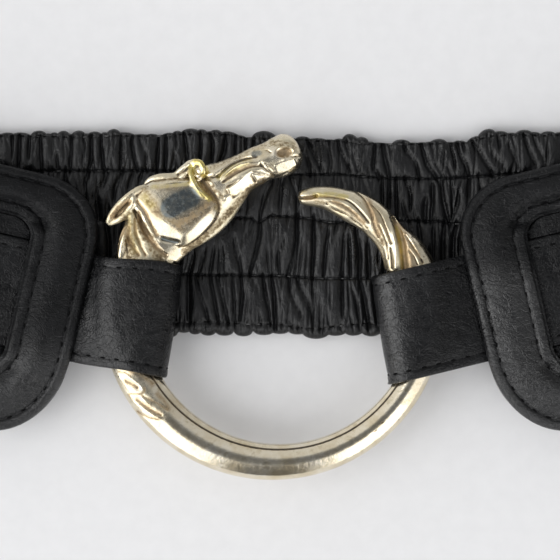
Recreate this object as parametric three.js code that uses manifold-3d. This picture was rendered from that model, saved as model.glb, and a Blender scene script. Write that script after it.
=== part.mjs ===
// Waist belt lying flat as a closed loop: a gathered leather band with elastic inside goes round the
// back, a shaped leather panel sits on each side of the front, and a strap from each panel is folded
// round an open cast ring that ends in a horse's head and tail.
// Millimetres, +Z up from the surface that the belt lies on, +Y from the ring's plain arc to its mouth.
import * as THREE from "three";
import { mergeVertices } from "three/addons/utils/BufferGeometryUtils.js";
import Module from "manifold-3d";

const wasm = await Module();
wasm.setup();

const GAP = 0.3; // between two pieces that lie against each other

// The gathered band, pressed flat where it lies on the surface. Its rows say where the elastic is
// stitched in, from the lower edge to the upper.
const BAND_WALL = 3.2; // leather, elastic and leather
const BAND_ROWS = [
  { across: -24.6, swell: 0.4, gather: 0.2, ruffle: 1 },
  { across: -22.8, swell: 0.65, gather: 0.35, ruffle: 0 },
  { across: -16.6, swell: 1, gather: 1, ruffle: 0 },
  { across: -10.4, swell: 0.7, gather: 0.35, ruffle: 0 },
  { across: -3.6, swell: 1, gather: 1, ruffle: 0 },
  { across: 3.2, swell: 0.7, gather: 0.35, ruffle: 0 },
  { across: 8.9, swell: 1, gather: 1, ruffle: 0 },
  { across: 14.6, swell: 0.7, gather: 0.35, ruffle: 0 },
  { across: 18.9, swell: 1, gather: 1, ruffle: 0 },
  { across: 23.2, swell: 0.65, gather: 0.35, ruffle: 0 },
  { across: 24.6, swell: 0.4, gather: 0.2, ruffle: 1 },
];
const GATHER_HEIGHT = 0.9;
const GATHER_STEP = 3.5; // from a ridge to the next valley
const RIDGE_LEAST = 0.55; // share of the height that every ridge has
const VALLEY_MOST = 0.25; // share of it that a valley can keep
const RUFFLE_DEPTH = 0.7;
const FLAT_EDGE = 0.55; // how far the edges lift where the band lies flat on the surface
const BACK_MIDDLE_Y = 17.7; // the back's middle line, at the middle of the belt
const BACK_BEND = 2.0e-4; // how it curves up towards the side folds, per mm
const FOLD_X = 172; // where the side fold starts
const FOLD_RADIUS = 6.5;
const BAND_END_WALL = 2.2; // pressed flat where it is sewn into the panel
const BAND_TUCK = 8; // how far it goes into the panel
const PRESS_FROM = 6; // steps from the end where it starts to be pressed, and over how many
const PRESS_STEPS = 3;

// Each front panel, in its own axes: u outwards from the ring, v across, turned by PANEL_TURN.
const NOSE_X = 46.4;
const NOSE_Y = 2.1;
const PANEL_TURN = THREE.MathUtils.degToRad(13);
const PANEL_LENGTH = 100;
const PANEL_MIDDLE_V = -4.5;
const FRONT_HEIGHT = 5.0; // the panels' underside at the nose
const FRONT_RISE = 4.4 / 92; // it rises outwards, because the loop opens towards the folds
const DROOP_DEPTH = 1.8; // it sags where nothing lies under it
const DROOP_LENGTH = 28;
const BACKING_WALL = 1.5;
const BACKING_INSET = 0.9; // inside the frame's edge
const BACKING_END = PANEL_LENGTH - 2 * BACKING_INSET;
const BACKING_STATIONS = [0, 0.5, 1.6, 3.6, 6.5, 10.5, 16, 26, 41, 56, 70, 85, BACKING_END];
const BACKING_STEPS = 6;
const FRAME_WALL = 2.4;
const RAIL_FILL = 2.0; // padding in the rails above and below the strap
const RAIL_STEP = 5; // over which the frame comes down from the strap to the backing
const STRAP_EASE = 2.2; // free of the strap's edges
const EDGE_ROLL = 0.7;
// Corners, with how far each is rounded towards the corner before and after it.
const PANEL_CORNERS = [
  { u: 0, v: 27, before: 13.5, after: 15 },
  { u: 56, v: 27.3, before: 18, after: 18 },
  { u: PANEL_LENGTH, v: 20.8, before: 3, after: 3 },
  { u: PANEL_LENGTH, v: -29.8, before: 3, after: 3 },
  { u: 56, v: -35.8, before: 18, after: 18 },
  { u: 0, v: -35.5, before: 17, after: 21.5 },
];
const WINDOW_CORNERS = [
  { u: 15, v: 16.5, before: 5, after: 6 },
  { u: 56, v: 16.6, before: 9, after: 9 },
  { u: 80, v: 13, before: 12, after: 13 },
  { u: 80, v: -21.5, before: 13, after: 12 },
  { u: 56, v: -22.6, before: 9, after: 9 },
  { u: 15, v: -22, before: 8, after: 7 },
];
const CORNER_STEPS = 5;
const SIDE_STEPS = [3, 2, 5, 2, 3, 4];

// The strap: one width of leather, folded round the ring and sewn into the panel at both ends.
const STRAP_WALL = 1.3;
const STRAP_LAYER_GAP = 0.2;
const STRAP_ROOM = 2 * STRAP_WALL + STRAP_LAYER_GAP + 2.6 * GAP; // under the frame
const FAN_LENGTH = 18; // over which the strap fans out from the panel's nose
const STRAP_LOW_V = -15;
const STRAP_HIGH_V = 11;
const STRAP_END_STEPS = [88, 66, 44, 22, 8, -0.3]; // u from the sewn ends to the panel's nose
const STRAP_STEPS = 5;
const STRAP_RISE_STEPS = 4;
const STRAP_FOLD_STEPS = 8;
// fold_low and fold_high: where the fold's outside lies at the strap's lower and upper edge;
// fan: how much wider the strap is at the fold
const STRAP_SIDES = {
  left: { fold_low: -23.4, fold_high: -21.2, fan: 2.3, slack: 0.6 },
  right: { fold_low: -25.3, fold_high: -22.6, fan: 0, slack: 0.15 },
};

// The cast ring. Its plain arc runs between two angles; its two edges are circles with a centre each.
const RING_OUTER = { x: -1.55, y: 0.24, radius: 40.95 };
const RING_INNER = { x: -0.86, y: 0.95, radius: 33.33 };
const RING_Z = 10;
const ARC_FROM = THREE.MathUtils.degToRad(-12);
const ARC_TO = THREE.MathUtils.degToRad(-178);
const ARC_STEPS = 26;
const CAST_SIDES = 12;
// Sections of the tail from its tip, each from the outer edge to the inner edge, with half its height.
const TAIL_SECTIONS = [
  { outer_x: 4.7, outer_y: 26.6, inner_x: 4.7, inner_y: 25.4, half: 0.8 },
  { outer_x: 5.2, outer_y: 27.6, inner_x: 5.1, inner_y: 24.7, half: 1.7 },
  { outer_x: 6.9, outer_y: 28.6, inner_x: 6.4, inner_y: 24.1, half: 2.3 },
  { outer_x: 9.9, outer_y: 29.0, inner_x: 8.1, inner_y: 24.2, half: 2.6 },
  { outer_x: 13.8, outer_y: 28.9, inner_x: 10.5, inner_y: 23.8, half: 2.9 },
  { outer_x: 17.4, outer_y: 28.3, inner_x: 12.6, inner_y: 22.5, half: 3.2 },
  { outer_x: 20.8, outer_y: 27.3, inner_x: 15.0, inner_y: 21.2, half: 3.4 },
  { outer_x: 23.7, outer_y: 26.0, inner_x: 17.2, inner_y: 20.0, half: 3.5 },
  { outer_x: 26.2, outer_y: 24.1, inner_x: 19.4, inner_y: 18.6, half: 3.6 },
  { outer_x: 28.2, outer_y: 21.4, inner_x: 21.2, inner_y: 17.1, half: 3.7 },
  { outer_x: 30.6, outer_y: 17.8, inner_x: 22.7, inner_y: 15.2, half: 3.7 },
  { outer_x: 33.6, outer_y: 14.4, inner_x: 24.0, inner_y: 12.7, half: 3.8 },
  { outer_x: 36.6, outer_y: 10.6, inner_x: 25.4, inner_y: 8.8, half: 3.8 },
  { outer_x: 38.6, outer_y: 5.0, inner_x: 28.2, inner_y: 4.2, half: 3.7 },
];
// Sections of the neck and head from the ring to the muzzle, from the crest to the jaw.
const HEAD_SECTIONS = [
  { outer_x: -41.2, outer_y: 7.6, inner_x: -31.2, inner_y: 5.2, half: 4.1 },
  { outer_x: -38.8, outer_y: 13.1, inner_x: -24.3, inner_y: 10.6, half: 4.4 },
  { outer_x: -37.4, outer_y: 16.9, inner_x: -20.7, inner_y: 14.0, half: 5.0 },
  { outer_x: -36.4, outer_y: 21.7, inner_x: -17.6, inner_y: 15.7, half: 5.5 },
  { outer_x: -34.5, outer_y: 26.0, inner_x: -14.8, inner_y: 17.6, half: 5.8 },
  { outer_x: -31.7, outer_y: 29.3, inner_x: -12.6, inner_y: 20.5, half: 5.8 },
  { outer_x: -28.3, outer_y: 31.2, inner_x: -10.5, inner_y: 23.6, half: 5.6 },
  { outer_x: -24.0, outer_y: 32.9, inner_x: -8.6, inner_y: 26.2, half: 5.3 },
  { outer_x: -18.8, outer_y: 34.0, inner_x: -6.9, inner_y: 27.7, half: 4.9 },
  { outer_x: -14.5, outer_y: 34.8, inner_x: -5.5, inner_y: 28.9, half: 4.5 },
  { outer_x: -10.1, outer_y: 36.9, inner_x: -3.8, inner_y: 29.8, half: 4.2 },
  { outer_x: -6.9, outer_y: 38.3, inner_x: -2.6, inner_y: 30.4, half: 4.1 },
  { outer_x: -4.0, outer_y: 39.4, inner_x: -1.2, inner_y: 31.1, half: 4.2 },
  { outer_x: -1.7, outer_y: 40.7, inner_x: 0.7, inner_y: 31.2, half: 4.3 },
  { outer_x: 0.5, outer_y: 41.7, inner_x: 2.6, inner_y: 31.9, half: 4.2 },
  { outer_x: 2.6, outer_y: 41.3, inner_x: 4.3, inner_y: 33.1, half: 3.8 },
  { outer_x: 4.2, outer_y: 39.8, inner_x: 5.4, inner_y: 34.8, half: 2.8 },
  { outer_x: 5.1, outer_y: 37.9, inner_x: 5.7, inner_y: 36.2, half: 1.4 },
];
// Locks of hair that stand out from the neck, the crest and the tail, each from its root to its tip.
const LOCKS = [
  [
    { outer_x: -30.0, outer_y: 28.4, inner_x: -29.4, inner_y: 22.6, half: 3.6 },
    { outer_x: -33.6, outer_y: 27.2, inner_x: -32.6, inner_y: 21.4, half: 3.4 },
    { outer_x: -37.2, outer_y: 25.0, inner_x: -35.4, inner_y: 20.6, half: 2.9 },
    { outer_x: -39.9, outer_y: 22.3, inner_x: -38.2, inner_y: 19.6, half: 2.1 },
    { outer_x: -41.4, outer_y: 20.2, inner_x: -40.9, inner_y: 19.4, half: 0.9 },
  ],
  [
    { outer_x: -21.0, outer_y: 31.4, inner_x: -21.4, inner_y: 27.6, half: 3.6 },
    { outer_x: -25.2, outer_y: 32.6, inner_x: -25.2, inner_y: 28.6, half: 3.2 },
    { outer_x: -28.6, outer_y: 32.2, inner_x: -28.4, inner_y: 28.8, half: 2.5 },
    { outer_x: -31.1, outer_y: 30.6, inner_x: -30.8, inner_y: 28.9, half: 1.2 },
  ],
  [
    { outer_x: 37.4, outer_y: 8.6, inner_x: 31.2, inner_y: 9.6, half: 3.4 },
    { outer_x: 36.6, outer_y: 11.8, inner_x: 30.6, inner_y: 13.0, half: 3.2 },
    { outer_x: 34.6, outer_y: 15.4, inner_x: 29.6, inner_y: 15.2, half: 2.8 },
    { outer_x: 31.4, outer_y: 18.5, inner_x: 28.2, inner_y: 17.4, half: 2.0 },
    { outer_x: 28.3, outer_y: 21.6, inner_x: 27.6, inner_y: 20.6, half: 0.9 },
  ],
];
const EAR = {
  tip_x: -19.2,
  tip_y: 35.6,
  tip_rise: 1.4,
  base_x: -21.8,
  base_y: 30.4,
  rise: 2.2,
  radius: 2.7,
  length: 6.4,
  flat: 0.75,
  sides: 6,
};
const CHEEK = { x: -21.6, y: 23, rise: 1, long: 8.4, wide: 7.8, high: 5.6, turn: 30 };
const EYE = { x: -18.7, y: 32.3, rise: 4, long: 1.8, wide: 1.5, high: 1.5, turn: 20 };
const NOSTRIL = { x: 1.2, y: 37.5, rise: 4.4, long: 1.9, wide: 1.1, high: 1.4, turn: 18 };

const leather = new THREE.MeshStandardMaterial({ color: 0x1b1c1e, roughness: 0.55, metalness: 0 });
const gathered = new THREE.MeshStandardMaterial({ color: 0x17181a, roughness: 0.6, metalness: 0 });
const cast = new THREE.MeshStandardMaterial({ color: 0xcfc4a4, roughness: 0.22, metalness: 1 });

function smooth(t) {
  const c = THREE.MathUtils.clamp(t, 0, 1);
  return c * c * (3 - 2 * c);
}

// A repeatable number from 0 to 1 for a count, so that no two gathers are alike.
function uneven(count) {
  const s = Math.sin(count * 12.9898 + 4.1) * 43758.5453;
  return s - Math.floor(s);
}

// A closed mesh from rings of points. Ring k joins ring k + 1, and the last joins the first if looped.
function ringMesh(rings, looped) {
  const count = rings[0].length;
  const positions = [];
  const faces = [];
  rings.forEach((ring) => ring.forEach((p) => positions.push(p.x, p.y, p.z)));
  const joins = looped ? rings.length : rings.length - 1;
  for (let k = 0; k < joins; k++) {
    const next = (k + 1) % rings.length;
    for (let i = 0; i < count; i++) {
      const j = (i + 1) % count;
      faces.push(k * count + i, next * count + i, next * count + j);
      faces.push(k * count + i, next * count + j, k * count + j);
    }
  }
  return { positions, faces };
}

function geometryOf({ positions, faces }) {
  const made = new THREE.BufferGeometry();
  made.setAttribute("position", new THREE.Float32BufferAttribute(positions, 3));
  made.setIndex(faces);
  made.computeVertexNormals();
  return made;
}

function flipped({ positions, faces }) {
  const turned = [];
  for (let i = 0; i < faces.length; i += 3) turned.push(faces[i], faces[i + 2], faces[i + 1]);
  return { positions, faces: turned };
}

// A solid through closed sections, shut at each end by a fan round the section's middle.
function loftSolid(sections) {
  const made = ringMesh(sections, false);
  const count = sections[0].length;
  [0, sections.length - 1].forEach((end, atFarEnd) => {
    const middle = new THREE.Vector3();
    sections[end].forEach((p) => middle.addScaledVector(p, 1 / count));
    const hub = made.positions.length / 3;
    made.positions.push(middle.x, middle.y, middle.z);
    for (let i = 0; i < count; i++) {
      const a = end * count + i;
      const b = end * count + ((i + 1) % count);
      if (atFarEnd) made.faces.push(a, hub, b);
      else made.faces.push(a, b, hub);
    }
  });
  return made;
}

// A solid through sections that each go along one face of a sheet and back along the other.
function sheetSolid(sections) {
  const made = ringMesh(sections, false);
  const count = sections[0].length;
  [0, sections.length - 1].forEach((end, atFarEnd) => {
    for (let i = 0; i < count / 2 - 1; i++) {
      const [a, b] = [end * count + i, end * count + i + 1];
      const [c, d] = [end * count + count - 2 - i, end * count + count - 1 - i];
      if (atFarEnd) made.faces.push(a, c, b, a, d, c);
      else made.faces.push(a, b, c, a, c, d);
    }
  });
  return made;
}

function toManifold(geometry) {
  const bare = geometry.index ? geometry.toNonIndexed() : geometry.clone();
  bare.deleteAttribute("normal");
  bare.deleteAttribute("uv");
  const merged = mergeVertices(bare, 1e-4);
  const mesh = new wasm.Mesh({
    numProp: 3,
    vertProperties: new Float32Array(merged.attributes.position.array),
    triVerts: new Uint32Array(merged.index.array),
  });
  return new wasm.Manifold(mesh);
}

// A closed shape as a solid, turned right side out if its faces point inwards.
function solidOf(shape) {
  const solid = toManifold(geometryOf(shape));
  return solid.volume() > 0 ? solid : toManifold(geometryOf(flipped(shape)));
}

function fromManifold(solid) {
  const mesh = solid.getMesh();
  const made = new THREE.BufferGeometry();
  made.setAttribute("position", new THREE.BufferAttribute(new Float32Array(mesh.vertProperties), 3));
  made.setIndex(new THREE.BufferAttribute(new Uint32Array(mesh.triVerts), 1));
  made.computeVertexNormals();
  return made;
}

// The back's middle line in plan.
const backMiddleY = (x) => BACK_MIDDLE_Y + BACK_BEND * x * x;

// Where u, v of the right panel lies in plan.
function inPlan(u, v) {
  return new THREE.Vector2(
    NOSE_X + u * Math.cos(PANEL_TURN) - v * Math.sin(PANEL_TURN),
    NOSE_Y + u * Math.sin(PANEL_TURN) + v * Math.cos(PANEL_TURN),
  );
}

// Height of the panel's underside at a place in plan.
function heightAt(x, y) {
  const u = (x - NOSE_X) * Math.cos(PANEL_TURN) + (y - NOSE_Y) * Math.sin(PANEL_TURN);
  const lowerEdge = backMiddleY(x) + BAND_ROWS[0].across;
  return FRONT_HEIGHT + FRONT_RISE * Math.max(u, 0) - DROOP_DEPTH * smooth((lowerEdge - y) / DROOP_LENGTH);
}

function frontHeight(u, v) {
  const { x, y } = inPlan(u, v);
  return heightAt(x, y);
}

function frontPoint(u, v, above) {
  const p = inPlan(u, v);
  return new THREE.Vector3(p.x, p.y, frontHeight(u, v) + above);
}

// The band's middle surface from the middle of the back to its end in the right panel: a place, a
// heading in plan, and how far its outside has turned from facing down (0) to facing up (PI).
function bandStations() {
  const joint = inPlan(PANEL_LENGTH - BAND_TUCK, PANEL_MIDDLE_V);
  const stations = [];
  const backSteps = Math.round(FOLD_X / GATHER_STEP);
  for (let i = 0; i <= backSteps; i++) {
    const x = (FOLD_X * i) / backSteps;
    const heading = Math.atan(2 * BACK_BEND * x);
    stations.push({ x, y: backMiddleY(x), z: BAND_WALL / 2, heading, turn: 0, lying: 1 });
  }
  const foldY = backMiddleY(FOLD_X);
  const foldHeading = Math.atan(2 * BACK_BEND * FOLD_X);
  const foldSteps = Math.round((Math.PI * FOLD_RADIUS) / GATHER_STEP);
  for (let i = 1; i <= foldSteps; i++) {
    const turn = (Math.PI * i) / foldSteps;
    const out = FOLD_RADIUS * Math.sin(turn);
    stations.push({
      x: FOLD_X + out * Math.cos(foldHeading),
      y: foldY + out * Math.sin(foldHeading),
      z: BAND_WALL / 2 + FOLD_RADIUS * (1 - Math.cos(turn)),
      heading: foldHeading,
      turn,
      lying: 1 - smooth((2 * i) / foldSteps),
    });
  }
  const reach = FOLD_X - joint.x;
  const frontSteps = Math.round(reach / GATHER_STEP);
  const foldTop = BAND_WALL / 2 + 2 * FOLD_RADIUS;
  for (let i = 1; i <= frontSteps; i++) {
    const t = i / frontSteps;
    const ease = smooth(t);
    const heading = THREE.MathUtils.lerp(foldHeading, PANEL_TURN, t);
    const straightY = foldY - Math.tan(foldHeading) * reach * t;
    const jointLineY = joint.y + Math.tan(PANEL_TURN) * reach * (1 - t);
    stations.push({
      x: FOLD_X - reach * t,
      y: THREE.MathUtils.lerp(straightY, jointLineY, ease),
      z: foldTop,
      towardsPanel: ease,
      heading,
      turn: Math.PI,
      lying: 0,
      pressed: smooth((i - (frontSteps - PRESS_FROM)) / PRESS_STEPS),
    });
  }
  return stations;
}

function gatheredBand() {
  const right = bandStations();
  const left = right.slice(1).map((s) => ({ ...s, mirrored: true }));
  const stations = [...left.reverse(), ...right];
  const sections = stations.map((s, index) => {
    const onRidge = index % 2 === 0;
    const ridge = onRidge ? THREE.MathUtils.lerp(RIDGE_LEAST, 1, uneven(index)) : VALLEY_MOST * uneven(index);
    const pressed = s.pressed ?? 0;
    const widthWay = new THREE.Vector3(-Math.sin(s.heading), Math.cos(s.heading), 0);
    const alongWay = new THREE.Vector3(Math.cos(s.heading), Math.sin(s.heading), 0);
    const outWay = alongWay.multiplyScalar(Math.sin(s.turn)).setZ(-Math.cos(s.turn));
    const point = (row, face) => {
      const half = THREE.MathUtils.lerp((BAND_WALL / 2) * row.swell, BAND_END_WALL / 2, pressed);
      const gather = GATHER_HEIGHT * row.gather * ridge;
      const flat = BAND_WALL / 2 - FLAT_EDGE * row.ruffle;
      const ruffle = row.ruffle * Math.sign(row.across) * RUFFLE_DEPTH * (ridge - 0.5);
      const place = new THREE.Vector3(s.x, s.y, s.z);
      place.addScaledVector(widthWay, row.across + ruffle * (1 - pressed));
      if (s.towardsPanel !== undefined) {
        const seat = heightAt(place.x, place.y) + BACKING_WALL + GAP + BAND_END_WALL / 2;
        place.z = THREE.MathUtils.lerp(place.z, seat, s.towardsPanel);
      }
      const off = THREE.MathUtils.lerp(half + gather * (1 - pressed), flat, face > 0 ? s.lying : 0);
      place.addScaledVector(outWay, face * off);
      if (s.mirrored) place.x = -place.x;
      return place;
    };
    const outside = BAND_ROWS.map((row) => point(row, 1));
    const inside = [...BAND_ROWS].reverse().map((row) => point(row, -1));
    return [...outside, ...inside];
  });
  return sheetSolid(sections);
}

// Points round an outline: each corner is a quarter ellipse, each side is straight.
function outline(corners) {
  const points = [];
  corners.forEach((corner, k) => {
    const previous = corners[(k + corners.length - 1) % corners.length];
    const next = corners[(k + 1) % corners.length];
    const at = new THREE.Vector2(corner.u, corner.v);
    const back = new THREE.Vector2(previous.u, previous.v).sub(at).setLength(corner.before);
    const ahead = new THREE.Vector2(next.u, next.v).sub(at).setLength(corner.after);
    for (let i = 0; i <= CORNER_STEPS; i++) {
      const angle = (Math.PI / 2) * (i / CORNER_STEPS);
      const point = at.clone().addScaledVector(back, 1 - Math.sin(angle));
      points.push(point.addScaledVector(ahead, 1 - Math.cos(angle)));
    }
    const from = points[points.length - 1];
    const nextBack = at.clone().sub(new THREE.Vector2(next.u, next.v)).setLength(next.before);
    const to = new THREE.Vector2(next.u, next.v).add(nextBack);
    for (let i = 1; i < SIDE_STEPS[k]; i++) points.push(from.clone().lerp(to, i / SIDE_STEPS[k]));
  });
  return points;
}

// How far the frame's underside is lifted over the strap and over the band's end.
function underLift(u, v) {
  const beside = Math.max(v - STRAP_HIGH_V, STRAP_LOW_V - v);
  const overStrap = 1 - smooth((beside - STRAP_EASE) / RAIL_STEP);
  const overEnd = smooth((u - (PANEL_LENGTH - BAND_TUCK - RAIL_STEP)) / RAIL_STEP);
  return STRAP_ROOM * Math.max(overStrap, overEnd);
}

// Rows round the frame's section. out: in from the outline; window: out from the window's edge;
// under: above the underside; top: above the top.
const FRAME_ROWS = [
  { out: 0.7, under: 0 },
  { out: 0, under: 0.45 },
  { out: 0, top: -1.3 },
  { out: EDGE_ROLL, top: -0.45 },
  { out: 2.2, top: -0.3 },
  { out: 3.4, top: 0 },
  { window: 3, top: 0 },
  { window: 1.5, top: 0.5 },
  { window: 0.1, top: -0.3 },
  { window: 0, under: 0 },
  { window: 4.5, under: 0 },
  { out: 5.5, under: 0 },
];

function panelFrame() {
  const outer = outline(PANEL_CORNERS);
  const inner = outline(WINDOW_CORNERS);
  const rings = FRAME_ROWS.map((row) =>
    outer.map((from, i) => {
      const to = inner[i];
      const way = to.clone().sub(from).normalize();
      const [start, along] = row.out === undefined ? [to, -row.window] : [from, row.out];
      const p = start.clone().addScaledVector(way, along);
      const lift = underLift(p.x, p.y);
      const top = FRAME_WALL + Math.max(RAIL_FILL, lift);
      const height = row.top === undefined ? lift + row.under : top + row.top;
      return frontPoint(p.x, p.y, BACKING_WALL + GAP + height);
    }),
  );
  return ringMesh(rings, true);
}

// The backing's edge at u, for the rail above the strap or below it: straight from the nose to the
// bend, straight again to the outer end, and rounded at the nose.
function backingEdge(u, nose, bend, end, reachU, reachV) {
  const rail = u < bend.u ? nose.v : THREE.MathUtils.mapLinear(u, bend.u, PANEL_LENGTH, bend.v, end.v);
  const beforeCorner = 1 - Math.min(u / reachU, 1);
  const rounded = reachV * (1 - Math.sqrt(1 - beforeCorner ** 2)) + BACKING_INSET;
  return rail - Math.sign(nose.v) * rounded;
}

// The plain sheet behind the frame, in sections across it.
function panelBacking() {
  const [noseTop, bendTop, endTop, endLow, bendLow, noseLow] = PANEL_CORNERS;
  const sections = BACKING_STATIONS.map((u) => {
    const low = backingEdge(u, noseLow, bendLow, endLow, noseLow.before, noseLow.after);
    const high = backingEdge(u, noseTop, bendTop, endTop, noseTop.after, noseTop.before);
    const bottom = [];
    const top = [];
    for (let j = 0; j <= BACKING_STEPS; j++) {
      const v = THREE.MathUtils.lerp(low, high, j / BACKING_STEPS);
      bottom.push(frontPoint(u + BACKING_INSET, v, 0));
      top.push(frontPoint(u + BACKING_INSET, v, BACKING_WALL));
    }
    return [...bottom, ...top.reverse()];
  });
  return sheetSolid(sections);
}

// A circle of the ring in the strap's own axes; the left panel's are mirrored.
function inStrapAxes(circle, side) {
  const x = (side === "left" ? -circle.x : circle.x) - NOSE_X;
  const y = circle.y - NOSE_Y;
  return {
    u: x * Math.cos(PANEL_TURN) + y * Math.sin(PANEL_TURN),
    v: -x * Math.sin(PANEL_TURN) + y * Math.cos(PANEL_TURN),
    radius: circle.radius,
  };
}

// The leather's middle line at v, seen along the strap's width: from the panel straight up to the
// ring, over it, round in a loose fold, and back under it.
function strapLine(v, side) {
  const { fold_low, fold_high, slack } = STRAP_SIDES[side];
  const share = (v - STRAP_LOW_V) / (STRAP_HIGH_V - STRAP_LOW_V);
  const [outerU, innerU] = [RING_OUTER, RING_INNER].map((circle) => {
    const { u, v: centreV, radius } = inStrapAxes(circle, side);
    return u + Math.sqrt(radius ** 2 - (v - centreV) ** 2);
  });
  const wireU = (outerU + innerU) / 2;
  const away = GAP + slack + STRAP_WALL / 2;
  const reachZ = (RING_OUTER.radius - RING_INNER.radius) / 2 + away;
  const reachU = (outerU - innerU) / 2 + away;
  const lowLayer = BACKING_WALL + GAP + STRAP_WALL / 2;
  const highLayer = lowLayer + STRAP_WALL + STRAP_LAYER_GAP;

  const line = STRAP_END_STEPS.map((u) => new THREE.Vector2(u, frontHeight(u, v) + highLayer));
  const mouth = line[line.length - 1];
  const mouthFromRing = new THREE.Vector2((mouth.x - wireU) / reachU, (mouth.y - RING_Z) / reachZ);
  const touch = mouthFromRing.angle() + Math.acos(1 / mouthFromRing.length()) - 2 * Math.PI;
  for (let i = 0; i <= STRAP_RISE_STEPS; i++) {
    const angle = THREE.MathUtils.lerp(touch, Math.PI / 2, i / STRAP_RISE_STEPS);
    line.push(new THREE.Vector2(wireU + reachU * Math.cos(angle), RING_Z + reachZ * Math.sin(angle)));
  }
  const outside = THREE.MathUtils.lerp(fold_low, fold_high, share);
  const foldU = Math.min(outside + STRAP_WALL / 2 + reachZ, wireU - 0.5);
  for (let i = 0; i <= STRAP_FOLD_STEPS; i++) {
    const angle = Math.PI * (0.5 + i / STRAP_FOLD_STEPS);
    line.push(new THREE.Vector2(foldU + reachZ * Math.cos(angle), RING_Z + reachZ * Math.sin(angle)));
  }
  const underRing = new THREE.Vector2(wireU, RING_Z - reachZ);
  const landing = new THREE.Vector2(mouth.x, frontHeight(mouth.x, v) + lowLayer);
  line.push(underRing, underRing.clone().lerp(landing, 0.5));
  const back = [...STRAP_END_STEPS].reverse();
  line.push(...back.map((u) => new THREE.Vector2(u, frontHeight(u, v) + lowLayer)));
  return line;
}

function strapLoop(side) {
  const sections = [];
  for (let k = 0; k <= STRAP_STEPS; k++) {
    const v = THREE.MathUtils.lerp(STRAP_LOW_V, STRAP_HIGH_V, k / STRAP_STEPS);
    const line = strapLine(v, side);
    const fan = (STRAP_SIDES[side].fan * k) / STRAP_STEPS;
    const normals = line.map((p, i) => {
      const before = line[Math.max(i - 1, 0)];
      const after = line[Math.min(i + 1, line.length - 1)];
      const way = after.clone().sub(before).normalize();
      return new THREE.Vector2(-way.y, way.x);
    });
    const at = (p) => {
      const q = inPlan(p.x, v + fan * smooth(-p.x / FAN_LENGTH));
      return new THREE.Vector3(q.x, q.y, p.y);
    };
    const one = line.map((p, i) => at(p.clone().addScaledVector(normals[i], STRAP_WALL / 2)));
    const other = line.map((p, i) => at(p.clone().addScaledVector(normals[i], -STRAP_WALL / 2)));
    sections.push([...one, ...other.reverse()]);
  }
  return sheetSolid(sections);
}

// One oval section between two edge points in plan.
function castSection({ outer_x, outer_y, inner_x, inner_y, half }) {
  const middle = new THREE.Vector3((outer_x + inner_x) / 2, (outer_y + inner_y) / 2, RING_Z);
  const across = new THREE.Vector3((outer_x - inner_x) / 2, (outer_y - inner_y) / 2, 0);
  const points = [];
  for (let i = 0; i < CAST_SIDES; i++) {
    const angle = (2 * Math.PI * i) / CAST_SIDES;
    const p = middle.clone().addScaledVector(across, Math.cos(angle));
    p.z += half * Math.sin(angle);
    points.push(p);
  }
  return points;
}

function ringArcSections() {
  const rows = [];
  for (let i = 0; i <= ARC_STEPS; i++) {
    const angle = THREE.MathUtils.lerp(ARC_FROM, ARC_TO, i / ARC_STEPS);
    const outer_x = RING_OUTER.x + RING_OUTER.radius * Math.cos(angle);
    const outer_y = RING_OUTER.y + RING_OUTER.radius * Math.sin(angle);
    const inner_x = RING_INNER.x + RING_INNER.radius * Math.cos(angle);
    const inner_y = RING_INNER.y + RING_INNER.radius * Math.sin(angle);
    const half = Math.hypot(outer_x - inner_x, outer_y - inner_y) / 2;
    rows.push({ outer_x, outer_y, inner_x, inner_y, half });
  }
  return rows;
}

function ellipsoid({ x, y, rise, long, wide, high, turn }, segments) {
  const made = new THREE.SphereGeometry(1, segments, segments / 2);
  made.scale(long, wide, high);
  made.rotateZ(THREE.MathUtils.degToRad(turn));
  made.translate(x, y, RING_Z + rise);
  return toManifold(made);
}

function ear() {
  const made = new THREE.ConeGeometry(EAR.radius, EAR.length, EAR.sides);
  made.scale(1, 1, EAR.flat);
  const way = new THREE.Vector3(EAR.tip_x - EAR.base_x, EAR.tip_y - EAR.base_y, EAR.tip_rise).normalize();
  made.applyQuaternion(new THREE.Quaternion().setFromUnitVectors(new THREE.Vector3(0, 1, 0), way));
  made.translate((EAR.tip_x + EAR.base_x) / 2, (EAR.tip_y + EAR.base_y) / 2, RING_Z + EAR.rise);
  return toManifold(made);
}

function ringBuckle() {
  const spine = [...TAIL_SECTIONS, ...ringArcSections(), ...HEAD_SECTIONS];
  let solid = solidOf(loftSolid(spine.map(castSection)));
  LOCKS.forEach((lock) => {
    solid = solid.add(solidOf(loftSolid(lock.map(castSection))));
  });
  solid = solid.add(ellipsoid(CHEEK, 12)).add(ear()).add(ellipsoid(EYE, 8));
  return solid.subtract(ellipsoid(NOSTRIL, 8));
}

function mirroredX({ positions, faces }) {
  return flipped({ positions: positions.map((value, i) => (i % 3 === 0 ? -value : value)), faces });
}

function named(name, shape, material) {
  const mesh = new THREE.Mesh(fromManifold(shape), material);
  mesh.name = name;
  return mesh;
}

const belt = new THREE.Group();
belt.add(named("gathered_band", solidOf(gatheredBand()), gathered));
belt.add(named("panel_frame_right", solidOf(panelFrame()), leather));
belt.add(named("panel_frame_left", solidOf(mirroredX(panelFrame())), leather));
belt.add(named("panel_backing_right", solidOf(panelBacking()), leather));
belt.add(named("panel_backing_left", solidOf(mirroredX(panelBacking())), leather));
belt.add(named("strap_loop_right", solidOf(strapLoop("right")), leather));
belt.add(named("strap_loop_left", solidOf(mirroredX(strapLoop("left"))), leather));
belt.add(named("ring_buckle", ringBuckle(), cast));

// The origin is under the middle of the whole belt.
const whole = new THREE.Box3().setFromObject(belt);
const middle = whole.getCenter(new THREE.Vector3());
belt.children.forEach((mesh) => mesh.geometry.translate(-middle.x, -middle.y, -whole.min.z));

export default belt;
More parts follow.
